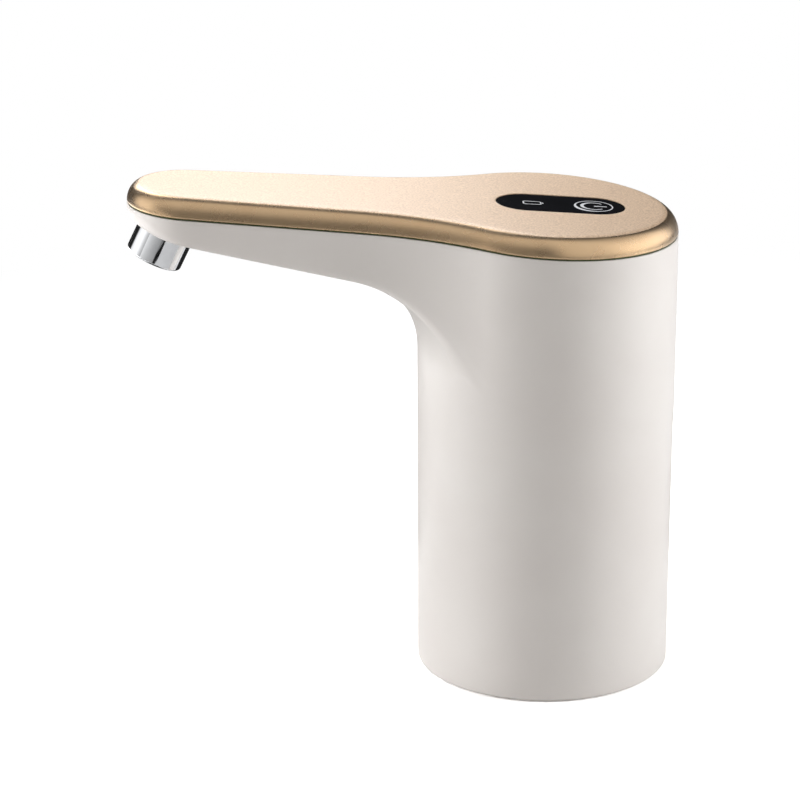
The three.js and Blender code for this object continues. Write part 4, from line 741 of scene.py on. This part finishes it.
def cover():
    base = outline(0.0)
    rings, bands = [], []

    def add(ring, band):
        rings.append(ring)
        bands.extend([band] * len(ring))

    def rim(inset, height):
        return [(p.x, p.y, height) for p in outline(inset)]

    def pocket(inset, height):
        ring = []
        for point in base:
            length, width = PANEL_LENGTH - inset * 2, PANEL_WIDTH - inset * 2
            hit = ray_to_stadium(point.normalized(), length, width, PANEL_CENTRE)
            ring.append((hit.x, hit.y, height))
        return ring

    for inset, rise in COVER_LIP:
        add(rim(inset, SEAM_GAP + COVER_RAISE + rise), 1.0)
    angles = [EDGE_BEGIN + (SATIN_END - EDGE_BEGIN) * i / SATIN_STEPS for i in range(SATIN_STEPS + 1)]
    angles += [GRAIN_BEGIN + (90 - GRAIN_BEGIN) * i / GRAIN_STEPS for i in range(GRAIN_STEPS + 1)]
    for angle in angles:
        inset = COVER_EDGE * (1 - math.cos(math.radians(angle)))
        height = SEAM_GAP + COVER_HEIGHT * math.sin(math.radians(angle))
        add(rim(inset, height), 1.0 if angle <= SATIN_END else 0.0)
    edge = rim(COVER_EDGE + TOP_MARGIN, COVER_TOP)
    add(edge, 0.0)
    hole = pocket(-PANEL_GAP - POCKET_MARGIN, COVER_TOP)
    for i in range(1, TOP_STEPS):
        t = i / TOP_STEPS
        add([tuple(a + (b - a) * t for a, b in zip(p, q)) for p, q in zip(edge, hole)], 0.0)
    add(hole, 0.0)
    add(pocket(-PANEL_GAP - POCKET_EDGE, COVER_TOP), 0.0)
    add(pocket(-PANEL_GAP, COVER_TOP - POCKET_EDGE), POCKET_EDGE_BAND)
    floor_height = PANEL_TOP - PANEL_DEPTH - POCKET_EDGE
    roof = COVER_TOP - COVER_ROOF
    add(pocket(-PANEL_GAP, floor_height), 1.0)
    add(pocket(PANEL_LEDGE, floor_height), 1.0)
    add(pocket(PANEL_LEDGE, roof), 1.0)
    add(rim(COVER_INNER, roof), 1.0)
    add(rim(COVER_INNER, SEAM_GAP), 1.0)
    piece("gold_cover", on_seam(loft(rings)), "gold_cover", ["top_cover"], COVER_SHARP, bands)


# The seal's dark olive material paints part of the shade in the seam gap as well as the seal's own colour.
def seam_seal():
    section = (
        (SEAL_INSET + SEAL_EDGE, SEAL_BOTTOM), (SEAL_INSET, SEAL_SIDE[0]), (SEAL_INSET, SEAL_SIDE[1]),
        (SEAL_INSET + SEAL_EDGE, SEAL_TOP), (WALL, SEAL_TOP), (WALL, SEAL_BOTTOM),
    )
    rings = [[(p.x, p.y, z) for p in outline(inset)] for inset, z in section]
    piece("seam_seal", on_seam(loft(rings)), "cover_seal", ["cover_seal"], SOFT_SHARP)


def window():
    """Black touch window with a small rounded edge."""
    bottom = PANEL_TOP - PANEL_DEPTH
    section = [(PANEL_FOOT, bottom), (0.0, bottom + PANEL_FOOT)]
    section += [(inset, PANEL_TOP - depth) for inset, depth in PANEL_EDGE]
    rings = []
    for inset, height in section:
        length, width = PANEL_LENGTH - inset * 2, PANEL_WIDTH - inset * 2
        ring = stadium(length, width, PANEL_WIDTH / 2 - inset, PANEL_STEPS)
        rings.append([(x + PANEL_CENTRE, y, height) for x, y in ring])
    solid = on_seam(loft(rings, closed=False))
    piece("touch_window", solid, "touch_glass", ["touch_panel"], FINE_SHARP)


# Printed signs: thin strips that follow a line, with a width at each point
def strip(name, line, widths, closed):
    """A printed line of varying width, lying just proud of the window."""
    low, high = PANEL_TOP - PRINT_HALF, PANEL_TOP + PRINT_HALF
    count = len(line)
    sections = []
    for i, (x, y) in enumerate(line):
        before = line[(i - 1) % count] if closed or i > 0 else line[i]
        after = line[(i + 1) % count] if closed or i < count - 1 else line[i]
        dx, dy = after[0] - before[0], after[1] - before[1]
        size = math.hypot(dx, dy)
        nx, ny = -dy / size * widths[i] / 2, dx / size * widths[i] / 2
        sections.append([
            (x + nx, y + ny, low), (x + nx, y + ny, high), (x - nx, y - ny, high), (x - nx, y - ny, low)
        ])
    piece(name, on_seam(loft(sections, closed)), "print_white", sharp=FINE_SHARP)


def signs():
    """A battery sign and a power sign in a ring, both plain generic signs."""
    battery = stadium(*BATTERY_SIGN, 6)
    thin, thick = BATTERY_LINES
    widths = [thin if x > 0 else thick for x, _ in battery]
    strip("battery_sign", [(x + BATTERY_CENTRE, y) for x, y in battery], widths, True)
    strip("battery_tip_sign", [(x, 0.0) for x, _ in BATTERY_TIP], [width for _, width in BATTERY_TIP], False)
    line, widths = [], []
    for i in range(RING_STEPS):
        angle = 2 * math.pi * i / RING_STEPS
        line.append((POWER_CENTRE + RING_RADIUS * math.cos(angle), RING_RADIUS * math.sin(angle)))
        swell = max(0, math.cos(angle - RING_SWELL_ANGLE)) ** RING_SWELL_POWER
        widths.append(RING_LINE + RING_SWELL * swell)
    strip("ring_sign", line, widths, True)
    line, widths = [], []
    for i in range(BOW_STEPS + 1):
        angle = math.radians(BOW_GAP + (360 - BOW_GAP * 2) * i / BOW_STEPS)
        line.append((POWER_CENTRE + BOW_RADIUS * math.cos(angle), BOW_RADIUS * math.sin(angle)))
        widths.append(BOW_LINE + BOW_SWELL * max(0, -math.cos(angle)) ** BOW_SWELL_POWER)
    strip("power_bow_sign", line, widths, False)
    steps = range(BAR_STEPS + 1)
    line = [(POWER_CENTRE + BAR_START + BAR_LENGTH * i / BAR_STEPS, 0.0) for i in steps]
    strip("power_bar_sign", line, [BAR_LINE - BAR_THINNING * i for i in steps], False)


# Nozzle
def nozzle():
    bore = SLEEVE_RADIUS - SLEEVE_WALL
    mouth = bore - SLEEVE_LIP
    corner = SLEEVE_RADIUS - SLEEVE_EDGE
    profile = [(mouth + out, height) for out, height in MOUTH_EDGE] + [(corner, 0.0)]
    profile += arc((corner, SLEEVE_EDGE), SLEEVE_EDGE, -80, 0, 10)
    profile += [(SLEEVE_RADIUS, SLEEVE_LENGTH / 2), (SLEEVE_RADIUS, SLEEVE_LENGTH)]
    profile += [(bore, SLEEVE_LENGTH), (bore, SLEEVE_LIP_HEIGHT), (mouth, SLEEVE_LIP_HEIGHT)]
    solid = in_nozzle_frame(turned(profile, SLEEVE_STEPS))
    piece("nozzle_tube", solid, "chrome_sleeve", ["nozzle_sleeve"])


def aerator():
    low = SLEEVE_LIP_HEIGHT + AERATOR_GAP
    radius = SLEEVE_RADIUS - SLEEVE_WALL - AERATOR_PLAY
    disc = in_nozzle_frame(rods([(0.0, 0.0)], radius, low, low + AERATOR_THICKNESS, AERATOR_STEPS))
    insert = piece("aerator_disc", disc, "white_nylon", ["aerator_insert"])
    places = [(0.0, 0.0)]
    for row, count in enumerate(AERATOR_ROWS, 1):
        ring = circle(row * AERATOR_PITCH, 0.0, count)
        places += [(x, y) for x, y, _ in ring]
    holes = rods(places, AERATOR_HOLE, 0.0, SLEEVE_LENGTH, AERATOR_HOLE_STEPS)
    cut_away(insert, in_nozzle_frame(holes), ROUND_SHARP)


# Base: collar, seal, spigot and screws
BASE_SCREWS = [
    (SCREW_CIRCLE * math.cos(math.radians(a)), SCREW_CIRCLE * math.sin(math.radians(a))) for a in SCREW_ANGLES
]
CHASSIS_SCREWS = [(0.0, -CHASSIS_SCREW_OFFSET), (0.0, CHASSIS_SCREW_OFFSET)]


def collar():
    outer = SOCKET_RADIUS + SOCKET_WALL
    flange_top = FLANGE_RECESS + FLANGE_THICKNESS
    ceiling_top = SOCKET_DEPTH + CEILING
    mouth = SOCKET_RADIUS + SOCKET_ROUND
    profile = [(mouth, FLANGE_RECESS), (FLANGE_RADIUS - FLANGE_EDGE, FLANGE_RECESS)]
    profile += [(FLANGE_RADIUS, FLANGE_RECESS + FLANGE_EDGE), (FLANGE_RADIUS, flange_top)]
    profile += [(outer, flange_top), (outer, ceiling_top), (CEILING_HOLE, ceiling_top)]
    profile += [(CEILING_HOLE, SOCKET_DEPTH)]
    profile += [(SOCKET_RADIUS - SOCKET_ROUND, SOCKET_DEPTH), (SOCKET_RADIUS, SOCKET_DEPTH - SOCKET_ROUND)]
    profile += arc((mouth, FLANGE_RECESS + SOCKET_ROUND), SOCKET_ROUND, 180, 270, 8)[:-1]
    solid = turned(profile, ROUND_STEPS)
    thing = piece("socket_collar", solid, "white_plastic", ["neck_collar"], PART_SHARP)
    seats = rods(BASE_SCREWS, SCREW_HEAD + SCREW_HOLE_GAP, 0.0, SCREW_HOLE_TOP)
    cut_away(thing, seats, PART_SHARP)


def seal():
    outer = SOCKET_RADIUS - NECK_SEAL_GAP
    inner = outer - NECK_SEAL_WALL
    bottom = SOCKET_DEPTH - NECK_SEAL_LENGTH
    pitch = (NECK_SEAL_LENGTH - NECK_SEAL_TOP) / 3
    shoulder, below = outer - NECK_SEAL_SHOULDER, SOCKET_DEPTH - NECK_SEAL_TOP
    profile = [(inner, bottom + NECK_SEAL_EDGE), (inner + NECK_SEAL_EDGE, bottom)]
    profile += [(outer - NECK_SEAL_BEVEL, bottom), (outer, bottom + NECK_SEAL_BEVEL), (outer, SOCKET_DEPTH)]
    profile += [(shoulder, SOCKET_DEPTH), (shoulder, below)]
    profile += [(inner - NECK_SEAL_FILLET, below), (inner, below - NECK_SEAL_FILLET)]
    for i in (2, 1):
        profile += [(inner - reach, bottom + pitch * i + rise) for reach, rise in LIP_SECTION]
    solid = turned(profile, ROUND_STEPS)
    piece("lipped_seal", solid, "clear_silicone", ["neck_seal"], PART_SHARP)


def spigot():
    profile = [(SPIGOT_BORE, SPIGOT_FOOT), (SPIGOT_RADIUS - SPIGOT_EDGE, SPIGOT_FOOT)]
    profile += [(SPIGOT_RADIUS, SPIGOT_FOOT + SPIGOT_EDGE)]
    for i in range(2):
        low = SPIGOT_FOOT + BARB_PITCH * i
        profile += [(SPIGOT_RADIUS + out, low + rise) for out, rise in BARB_SECTION]
    solid = turned(profile + list(SPIGOT_UPPER), SPIGOT_STEPS)
    piece("barbed_spigot", solid, "white_nylon", ["hose_spigot"], PART_SHARP)


def screw(name, node, place, head_bottom, head_radius, head_height, shank):
    """Screw seen from below: a domed head with a cross recess."""
    dome = head_height * SCREW_DOME_SHARE
    top = head_bottom + head_height
    profile = []
    for i in range(1, SCREW_DOME_STEPS + 1):
        angle = i / SCREW_DOME_STEPS * math.pi / 2
        profile.append((head_radius * math.sin(angle), head_bottom + dome * (1 - math.cos(angle))))
    profile += [(head_radius, top), (shank, top), (shank, top + SCREW_LENGTH - shank)]
    solid = loft([circle(radius, z, SCREW_STEPS, *place) for radius, z in profile], closed=False)
    thing = piece(name, solid, "screw_steel", [node], PART_SHARP)
    arm, slot = head_radius * RECESS_ARM_SHARE, head_radius * RECESS_SLOT_SHARE
    heights = (head_bottom - RECESS_OVERRUN, head_bottom + head_height * RECESS_DEPTH_SHARE)
    for wide, deep in ((arm, slot), (slot, arm)):
        rings = [[(place[0] + x * wide, place[1] + y * deep, z) for x, y in CORNERS] for z in heights]
        cut_away(thing, loft(rings, closed=False), PART_SHARP)


def screws():
    for i, place in enumerate(BASE_SCREWS, 1):
        size = (FLANGE_RECESS, SCREW_HEAD, SCREW_HEAD_HEIGHT, SCREW_SHANK)
        screw(f"base_screw_head_{i}", f"base_screw_{i}", place, *size)
    for i, place in enumerate(CHASSIS_SCREWS, 1):
        low = SOCKET_DEPTH - CHASSIS_SCREW_HEAD_HEIGHT
        size = (low, CHASSIS_SCREW_HEAD, CHASSIS_SCREW_HEAD_HEIGHT, CHASSIS_SCREW_SHANK)
        screw(f"chassis_screw_head_{i}", f"chassis_screw_{i}", place, *size)


def socket():
    """Charging socket in its slot: a rounded steel shell with a tongue."""
    back = USB_MOUTH - USB_LENGTH

    def ring(inset, x):
        shape = stadium(USB_WIDTH - inset * 2, USB_DEPTH - inset * 2, USB_CORNER - inset, USB_STEPS)
        return [(x, y, USB_HEIGHT + z) for y, z in shape]

    rings = [ring(0.0, back), ring(0.0, USB_MOUTH - USB_EDGE), ring(USB_EDGE, USB_MOUTH)]
    rings += [ring(USB_SHELL, USB_MOUTH), ring(USB_SHELL, back + USB_BACK)]
    piece("socket_shell", loft(rings, closed=False), "steel", ["usb_socket"], PART_SHARP)
    tongue = [
        [(x, y * TONGUE_HALF_WIDTH, USB_HEIGHT + z * TONGUE_HALF_HEIGHT) for y, z in CORNERS]
        for x in (back + USB_BACK, USB_MOUTH - TONGUE_SETBACK)
    ]
    piece("socket_tongue", loft(tongue, closed=False), "black_nylon", sharp=FINE_SHARP)


# Inside
def diaphragm():
    """The rubber sheet keeps its three sleeves still, and the cup in each rocks with the wobble plate."""
    node = frame["nodes"]["diaphragm"]
    edit = bmesh.new()
    edit.from_mesh(node.data)
    edit.transform(node.matrix_world)
    bmesh.ops.remove_doubles(edit, verts=edit.verts, dist=MERGE_DISTANCE * MM)
    points = [vertex.co / MM for vertex in edit.verts]
    faces = [tuple(vertex.index for vertex in face.verts) for face in edit.faces]
    edit.free()
    rubber = "diaphragm_rubber"
    sheet = piece("diaphragm_sheet", (points, faces), rubber, ["diaphragm"], PART_SHARP)
    middle_x, _, middle_z = PLATE_CENTRE
    angles = [math.radians(a) for a in CHAMBER_ANGLES]
    places = [(CHAMBER_CIRCLE * math.cos(a), CHAMBER_CIRCLE * math.sin(a)) for a in angles]
    sleeves = [(middle_x + x * math.cos(PLATE_TILT), y) for x, y in places]
    low, high = middle_z - SLEEVE_CUT, middle_z + SLEEVE_CUT
    cut_away(sheet, rods(sleeves, SLEEVE_BORE, low, high), PART_SHARP)
    cut_away(sheet, rods([(middle_x, 0.0)], SHEET_CUT, low, SLEEVE_MOUTH), PART_SHARP)
    points, faces = joined(
        loft([circle(radius, z, CUP_STEPS, x, y) for radius, z in CUP_SECTION], closed=False)
        for x, y in places
    )
    tilted = Matrix.Translation(PLATE_CENTRE) @ Matrix.Rotation(PLATE_TILT, 4, "Y")
    cups = [tilted @ Vector(p) for p in points]
    piece("diaphragm_cups", (cups, faces), rubber, body="wobble")


def dress_inside():
    """The sealed inner nodes keep their CAD shape and get their slot's material."""
    slots = {row["node"]: row["material_slot"] for row in frame["record"]["subparts"]}
    for name, thing in frame["nodes"].items():
        thing.data.materials.clear()
        thing.data.materials.append(MATERIALS[slots[name]])


# Camera: places in metres, sensor and lens in millimetres
TARGET = Vector((-42.94, 0.2, 80.88)) * MM
PITCH = math.radians(18.756)
TURN = math.radians(-0.28)
DISTANCE = 1.041
SENSOR = 36.0
LENS = 158.445
CLIP_END = 20.0

# Lamps: place, size in metres, power in watts, target and colour
COOL = (0.975, 0.985, 1.0)
WARM = (1.0, 0.96, 0.92)
WHITE = (1, 1, 1)
BODY = (0, 0, 0.07)
ARM = (-0.1, 0, 0.14)
HIDDEN_LAMPS = {
    "left_strip": ((-0.95, -0.08, 0.3), (0.6, 1.0), 10.8, BODY, COOL),
    "right_strip": ((0.95, -0.08, 0.3), (0.6, 1.0), 12.4, BODY, COOL),
    "front_fill": ((-0.1, -1.2, 0.5), (1.0, 0.8), 2.95, BODY, WARM),
}
SHOWN_LAMPS = {
    "top_light": ((-0.183, 0.4, 0.48), (0.45, 0.4), 2.2, ARM, WHITE),
}

# Cards: corners in metres, then the grey levels of the left and the right end
GROUND = 0.001
OVER_GROUND = 0.0015
FRONT = -0.3
CARDS = {
    "floor_card": (
        [(-1.3, 0.08, GROUND), (0.1, 0.08, GROUND), (0.35, 1.5, GROUND), (-1.3, 1.5, GROUND)], 0.02, 0.02),
    "far_card": (
        [(-0.8, -3, GROUND), (0.3, -3, GROUND), (0.3, -0.45, GROUND), (-0.8, -0.45, GROUND)], 0.25, 0.25),
    "left_card": (
        [(-0.75, -0.05, OVER_GROUND), (-0.3, -0.05, OVER_GROUND), (-0.15, 0.42, OVER_GROUND),
         (-0.75, 0.42, OVER_GROUND)], 2.3, 2.3),
    "right_card": (
        [(0.34, -0.2, OVER_GROUND), (0.75, -0.2, OVER_GROUND), (0.75, 0.25, OVER_GROUND),
         (0.34, 0.25, OVER_GROUND)], 1.6, 1.6),
    "rim_card": (
        [(-0.2, -0.14, GROUND), (-0.1, -0.14, GROUND), (-0.1, 0.05, GROUND), (-0.2, 0.05, GROUND)],
        0.02, 0.02),
    "front_card": (
        [(-0.6, FRONT, 0), (-0.158, FRONT, 0), (-0.158, FRONT, 0.08), (-0.6, FRONT, 0.24)], 1.0, 0.35),
    "front_strip": (
        [(-0.158, FRONT, 0), (-0.085, FRONT, 0), (-0.085, FRONT, 0.045), (-0.158, FRONT, 0.045)], 0.01, 0.01),
}

# What metal and gloss see of the studio: where round the object, from left (-X) by the front (-Y), right and
# back, then the grey level up to a low direction and the one at a high direction, with a fade between
STUDIO = (
    (0.0, 1.3, 0.6), (0.03, 1.3, 0.6), (0.06, 0.8, 0.7), (0.1, 0.33, 0.85), (0.235, 0.2, 0.8),
    (0.243, 0.05, 0.5), (0.262, 0.05, 0.5), (0.285, 0.8, 0.9), (0.4, 0.9, 0.9), (0.46, 1.6, 0.9),
    (0.52, 1.8, 0.6), (0.57, 1.8, 0.4), (0.615, 1.6, 0.2), (0.64, 0.02, 0.02), (0.915, 0.02, 0.02),
    (0.935, 1.0, 0.05), (0.97, 1.3, 0.3),
)
STUDIO_LOW = 0.25
STUDIO_HIGH = 0.97

# Floor: half its width, its grey as a light surface, what the camera sees near the object, and where that
# fades to plain white
FLOOR_HALF = 4.0
FLOOR_ROUGHNESS = 0.9
FLOOR_GREY = (0.86, 0.86, 0.86, 1)
FLOOR_SEEN = (1.7, 1.7, 1.7, 1)
FADE_START = 0.12
FADE_END = 0.45


def aimed(thing, target):
    thing.rotation_euler = (target - thing.location).to_track_quat("-Z", "Y").to_euler()


def camera():
    data = bpy.data.cameras.new("camera")
    data.sensor_width = SENSOR
    data.lens = LENS
    data.clip_end = CLIP_END
    thing = bpy.data.objects.new("camera", data)
    bpy.context.scene.collection.objects.link(thing)
    level = math.cos(PITCH)
    back = Vector((math.sin(TURN) * level, -math.cos(TURN) * level, math.sin(PITCH)))
    thing.location = TARGET + back * DISTANCE
    aimed(thing, TARGET)
    bpy.context.scene.camera = thing


def lamp(name, place, size, power, target, colour):
    data = bpy.data.lights.new(name, "AREA")
    data.shape = "RECTANGLE"
    data.size, data.size_y = size
    data.energy = power
    data.color = colour
    thing = bpy.data.objects.new(name, data)
    bpy.context.scene.collection.objects.link(thing)
    thing.location = place
    aimed(thing, Vector(target))
    return thing


def lights():
    """Two wide strips, a front fill and a lamp behind the arm. Only the last one shows in reflections,
    because the studio round about stands for the others there."""
    for name, values in HIDDEN_LAMPS.items():
        lamp(name, *values).visible_glossy = False
    for name, values in SHOWN_LAMPS.items():
        lamp(name, *values)


def card(name, corners, left, right):
    """A card that only reflections show, from one grey level at its left end to another at its right end."""
    mesh = bpy.data.meshes.new(name)
    mesh.from_pydata(corners, [], [(0, 1, 2, 3)])
    shades = mesh.attributes.new("shade", "FLOAT", "POINT")
    shades.data.foreach_set("value", [left, right, right, left])
    material = bpy.data.materials.new(name)
    material.use_nodes = True
    tree = material.node_tree
    shade = tree.nodes.new("ShaderNodeAttribute")
    shade.attribute_name = "shade"
    glow = tree.nodes.new("ShaderNodeEmission")
    tree.links.new(shade.outputs["Fac"], glow.inputs["Color"])
    tree.links.new(glow.outputs[0], tree.nodes["Material Output"].inputs["Surface"])
    mesh.materials.append(material)
    thing = bpy.data.objects.new(name, mesh)
    bpy.context.scene.collection.objects.link(thing)
    thing.visible_camera = False
    thing.visible_diffuse = False
    thing.visible_shadow = False
    thing.visible_transmission = False


def floor():
    """Pale floor that keeps the object's shadow. The camera sees it white, and plain white farther out."""
    mesh = bpy.data.meshes.new("floor")
    mesh.from_pydata([(x * FLOOR_HALF, y * FLOOR_HALF, 0) for x, y in CORNERS], [], [(0, 1, 2, 3)])
    material = bpy.data.materials.new("floor")
    material.use_nodes = True
    tree = material.node_tree
    shader = tree.nodes["Principled BSDF"]
    shader.inputs["Roughness"].default_value = FLOOR_ROUGHNESS
    shader.inputs["Base Color"].default_value = FLOOR_GREY
    bright = tree.nodes.new("ShaderNodeBsdfDiffuse")
    bright.inputs["Color"].default_value = FLOOR_SEEN
    white = tree.nodes.new("ShaderNodeEmission")
    place = tree.nodes.new("ShaderNodeTexCoord")
    distance = tree.nodes.new("ShaderNodeVectorMath")
    distance.operation = "LENGTH"
    fade = tree.nodes.new("ShaderNodeMapRange")
    fade.interpolation_type = "SMOOTHSTEP"
    fade.inputs["From Min"].default_value = FADE_START
    fade.inputs["From Max"].default_value = FADE_END
    seen = tree.nodes.new("ShaderNodeMixShader")
    path = tree.nodes.new("ShaderNodeLightPath")
    mix = tree.nodes.new("ShaderNodeMixShader")
    tree.links.new(place.outputs["Object"], distance.inputs[0])
    tree.links.new(distance.outputs["Value"], fade.inputs["Value"])
    tree.links.new(fade.outputs["Result"], seen.inputs["Fac"])
    tree.links.new(bright.outputs[0], seen.inputs[1])
    tree.links.new(white.outputs[0], seen.inputs[2])
    tree.links.new(path.outputs["Is Camera Ray"], mix.inputs["Fac"])
    tree.links.new(shader.outputs["BSDF"], mix.inputs[1])
    tree.links.new(seen.outputs[0], mix.inputs[2])
    tree.links.new(mix.outputs[0], tree.nodes["Material Output"].inputs["Surface"])
    mesh.materials.append(material)
    thing = bpy.data.objects.new("floor", mesh)
    bpy.context.scene.collection.objects.link(thing)


def world():
    """The camera sees plain white. Metal and gloss see a white studio that is darker behind and in front."""
    scene = bpy.context.scene
    scene.world = bpy.data.worlds.new("studio")
    scene.world.use_nodes = True
    tree = scene.world.node_tree
    ambient = tree.nodes["Background"]
    ambient.inputs["Strength"].default_value = 0.0
    place = tree.nodes.new("ShaderNodeTexCoord")
    round_about = tree.nodes.new("ShaderNodeTexGradient")
    round_about.gradient_type = "RADIAL"
    tree.links.new(place.outputs["Generated"], round_about.inputs["Vector"])
    parts = tree.nodes.new("ShaderNodeSeparateXYZ")
    tree.links.new(place.outputs["Generated"], parts.inputs[0])

    def studio_ramp(column):
        ramp = tree.nodes.new("ShaderNodeValToRGB")
        stops = ramp.color_ramp.elements
        while len(stops) < len(STUDIO):
            stops.new(0.5)
        for stop, row in zip(stops, STUDIO):
            stop.position = row[0]
            stop.color = (row[column], row[column], row[column], 1)
        tree.links.new(round_about.outputs["Fac"], ramp.inputs["Fac"])
        return ramp.outputs["Color"]

    def either(first, second):
        node = tree.nodes.new("ShaderNodeMath")
        node.operation = "MAXIMUM"
        tree.links.new(first, node.inputs[0])
        tree.links.new(second, node.inputs[1])
        return node.outputs[0]

    height = tree.nodes.new("ShaderNodeMapRange")
    height.interpolation_type = "SMOOTHSTEP"
    height.inputs["From Min"].default_value = STUDIO_LOW
    height.inputs["From Max"].default_value = STUDIO_HIGH
    tree.links.new(parts.outputs["Z"], height.inputs["Value"])
    studio = tree.nodes.new("ShaderNodeMix")
    studio.data_type = "RGBA"
    tree.links.new(height.outputs["Result"], studio.inputs["Factor"])
    tree.links.new(studio_ramp(1), studio.inputs["A"])
    tree.links.new(studio_ramp(2), studio.inputs["B"])
    path = tree.nodes.new("ShaderNodeLightPath")
    seen = either(path.outputs["Is Camera Ray"], path.outputs["Is Transmission Ray"])
    colour = tree.nodes.new("ShaderNodeMix")
    colour.data_type = "RGBA"
    colour.inputs["B"].default_value = (1, 1, 1, 1)
    tree.links.new(seen, colour.inputs["Factor"])
    tree.links.new(studio.outputs["Result"], colour.inputs["A"])
    white = tree.nodes.new("ShaderNodeBackground")
    tree.links.new(colour.outputs["Result"], white.inputs["Color"])
    mix = tree.nodes.new("ShaderNodeMixShader")
    tree.links.new(either(seen, path.outputs["Is Glossy Ray"]), mix.inputs["Fac"])
    tree.links.new(ambient.outputs[0], mix.inputs[1])
    tree.links.new(white.outputs[0], mix.inputs[2])
    tree.links.new(mix.outputs[0], tree.nodes["World Output"].inputs["Surface"])


camera()
dress_inside()
housing()
cover()
seam_seal()
window()
signs()
nozzle()
aerator()
collar()
seal()
spigot()
screws()
socket()
diaphragm()
floor()
lights()
for card_name, card_values in CARDS.items():
    card(card_name, *card_values)
world()
bpy.context.scene.view_settings.view_transform = "Standard"
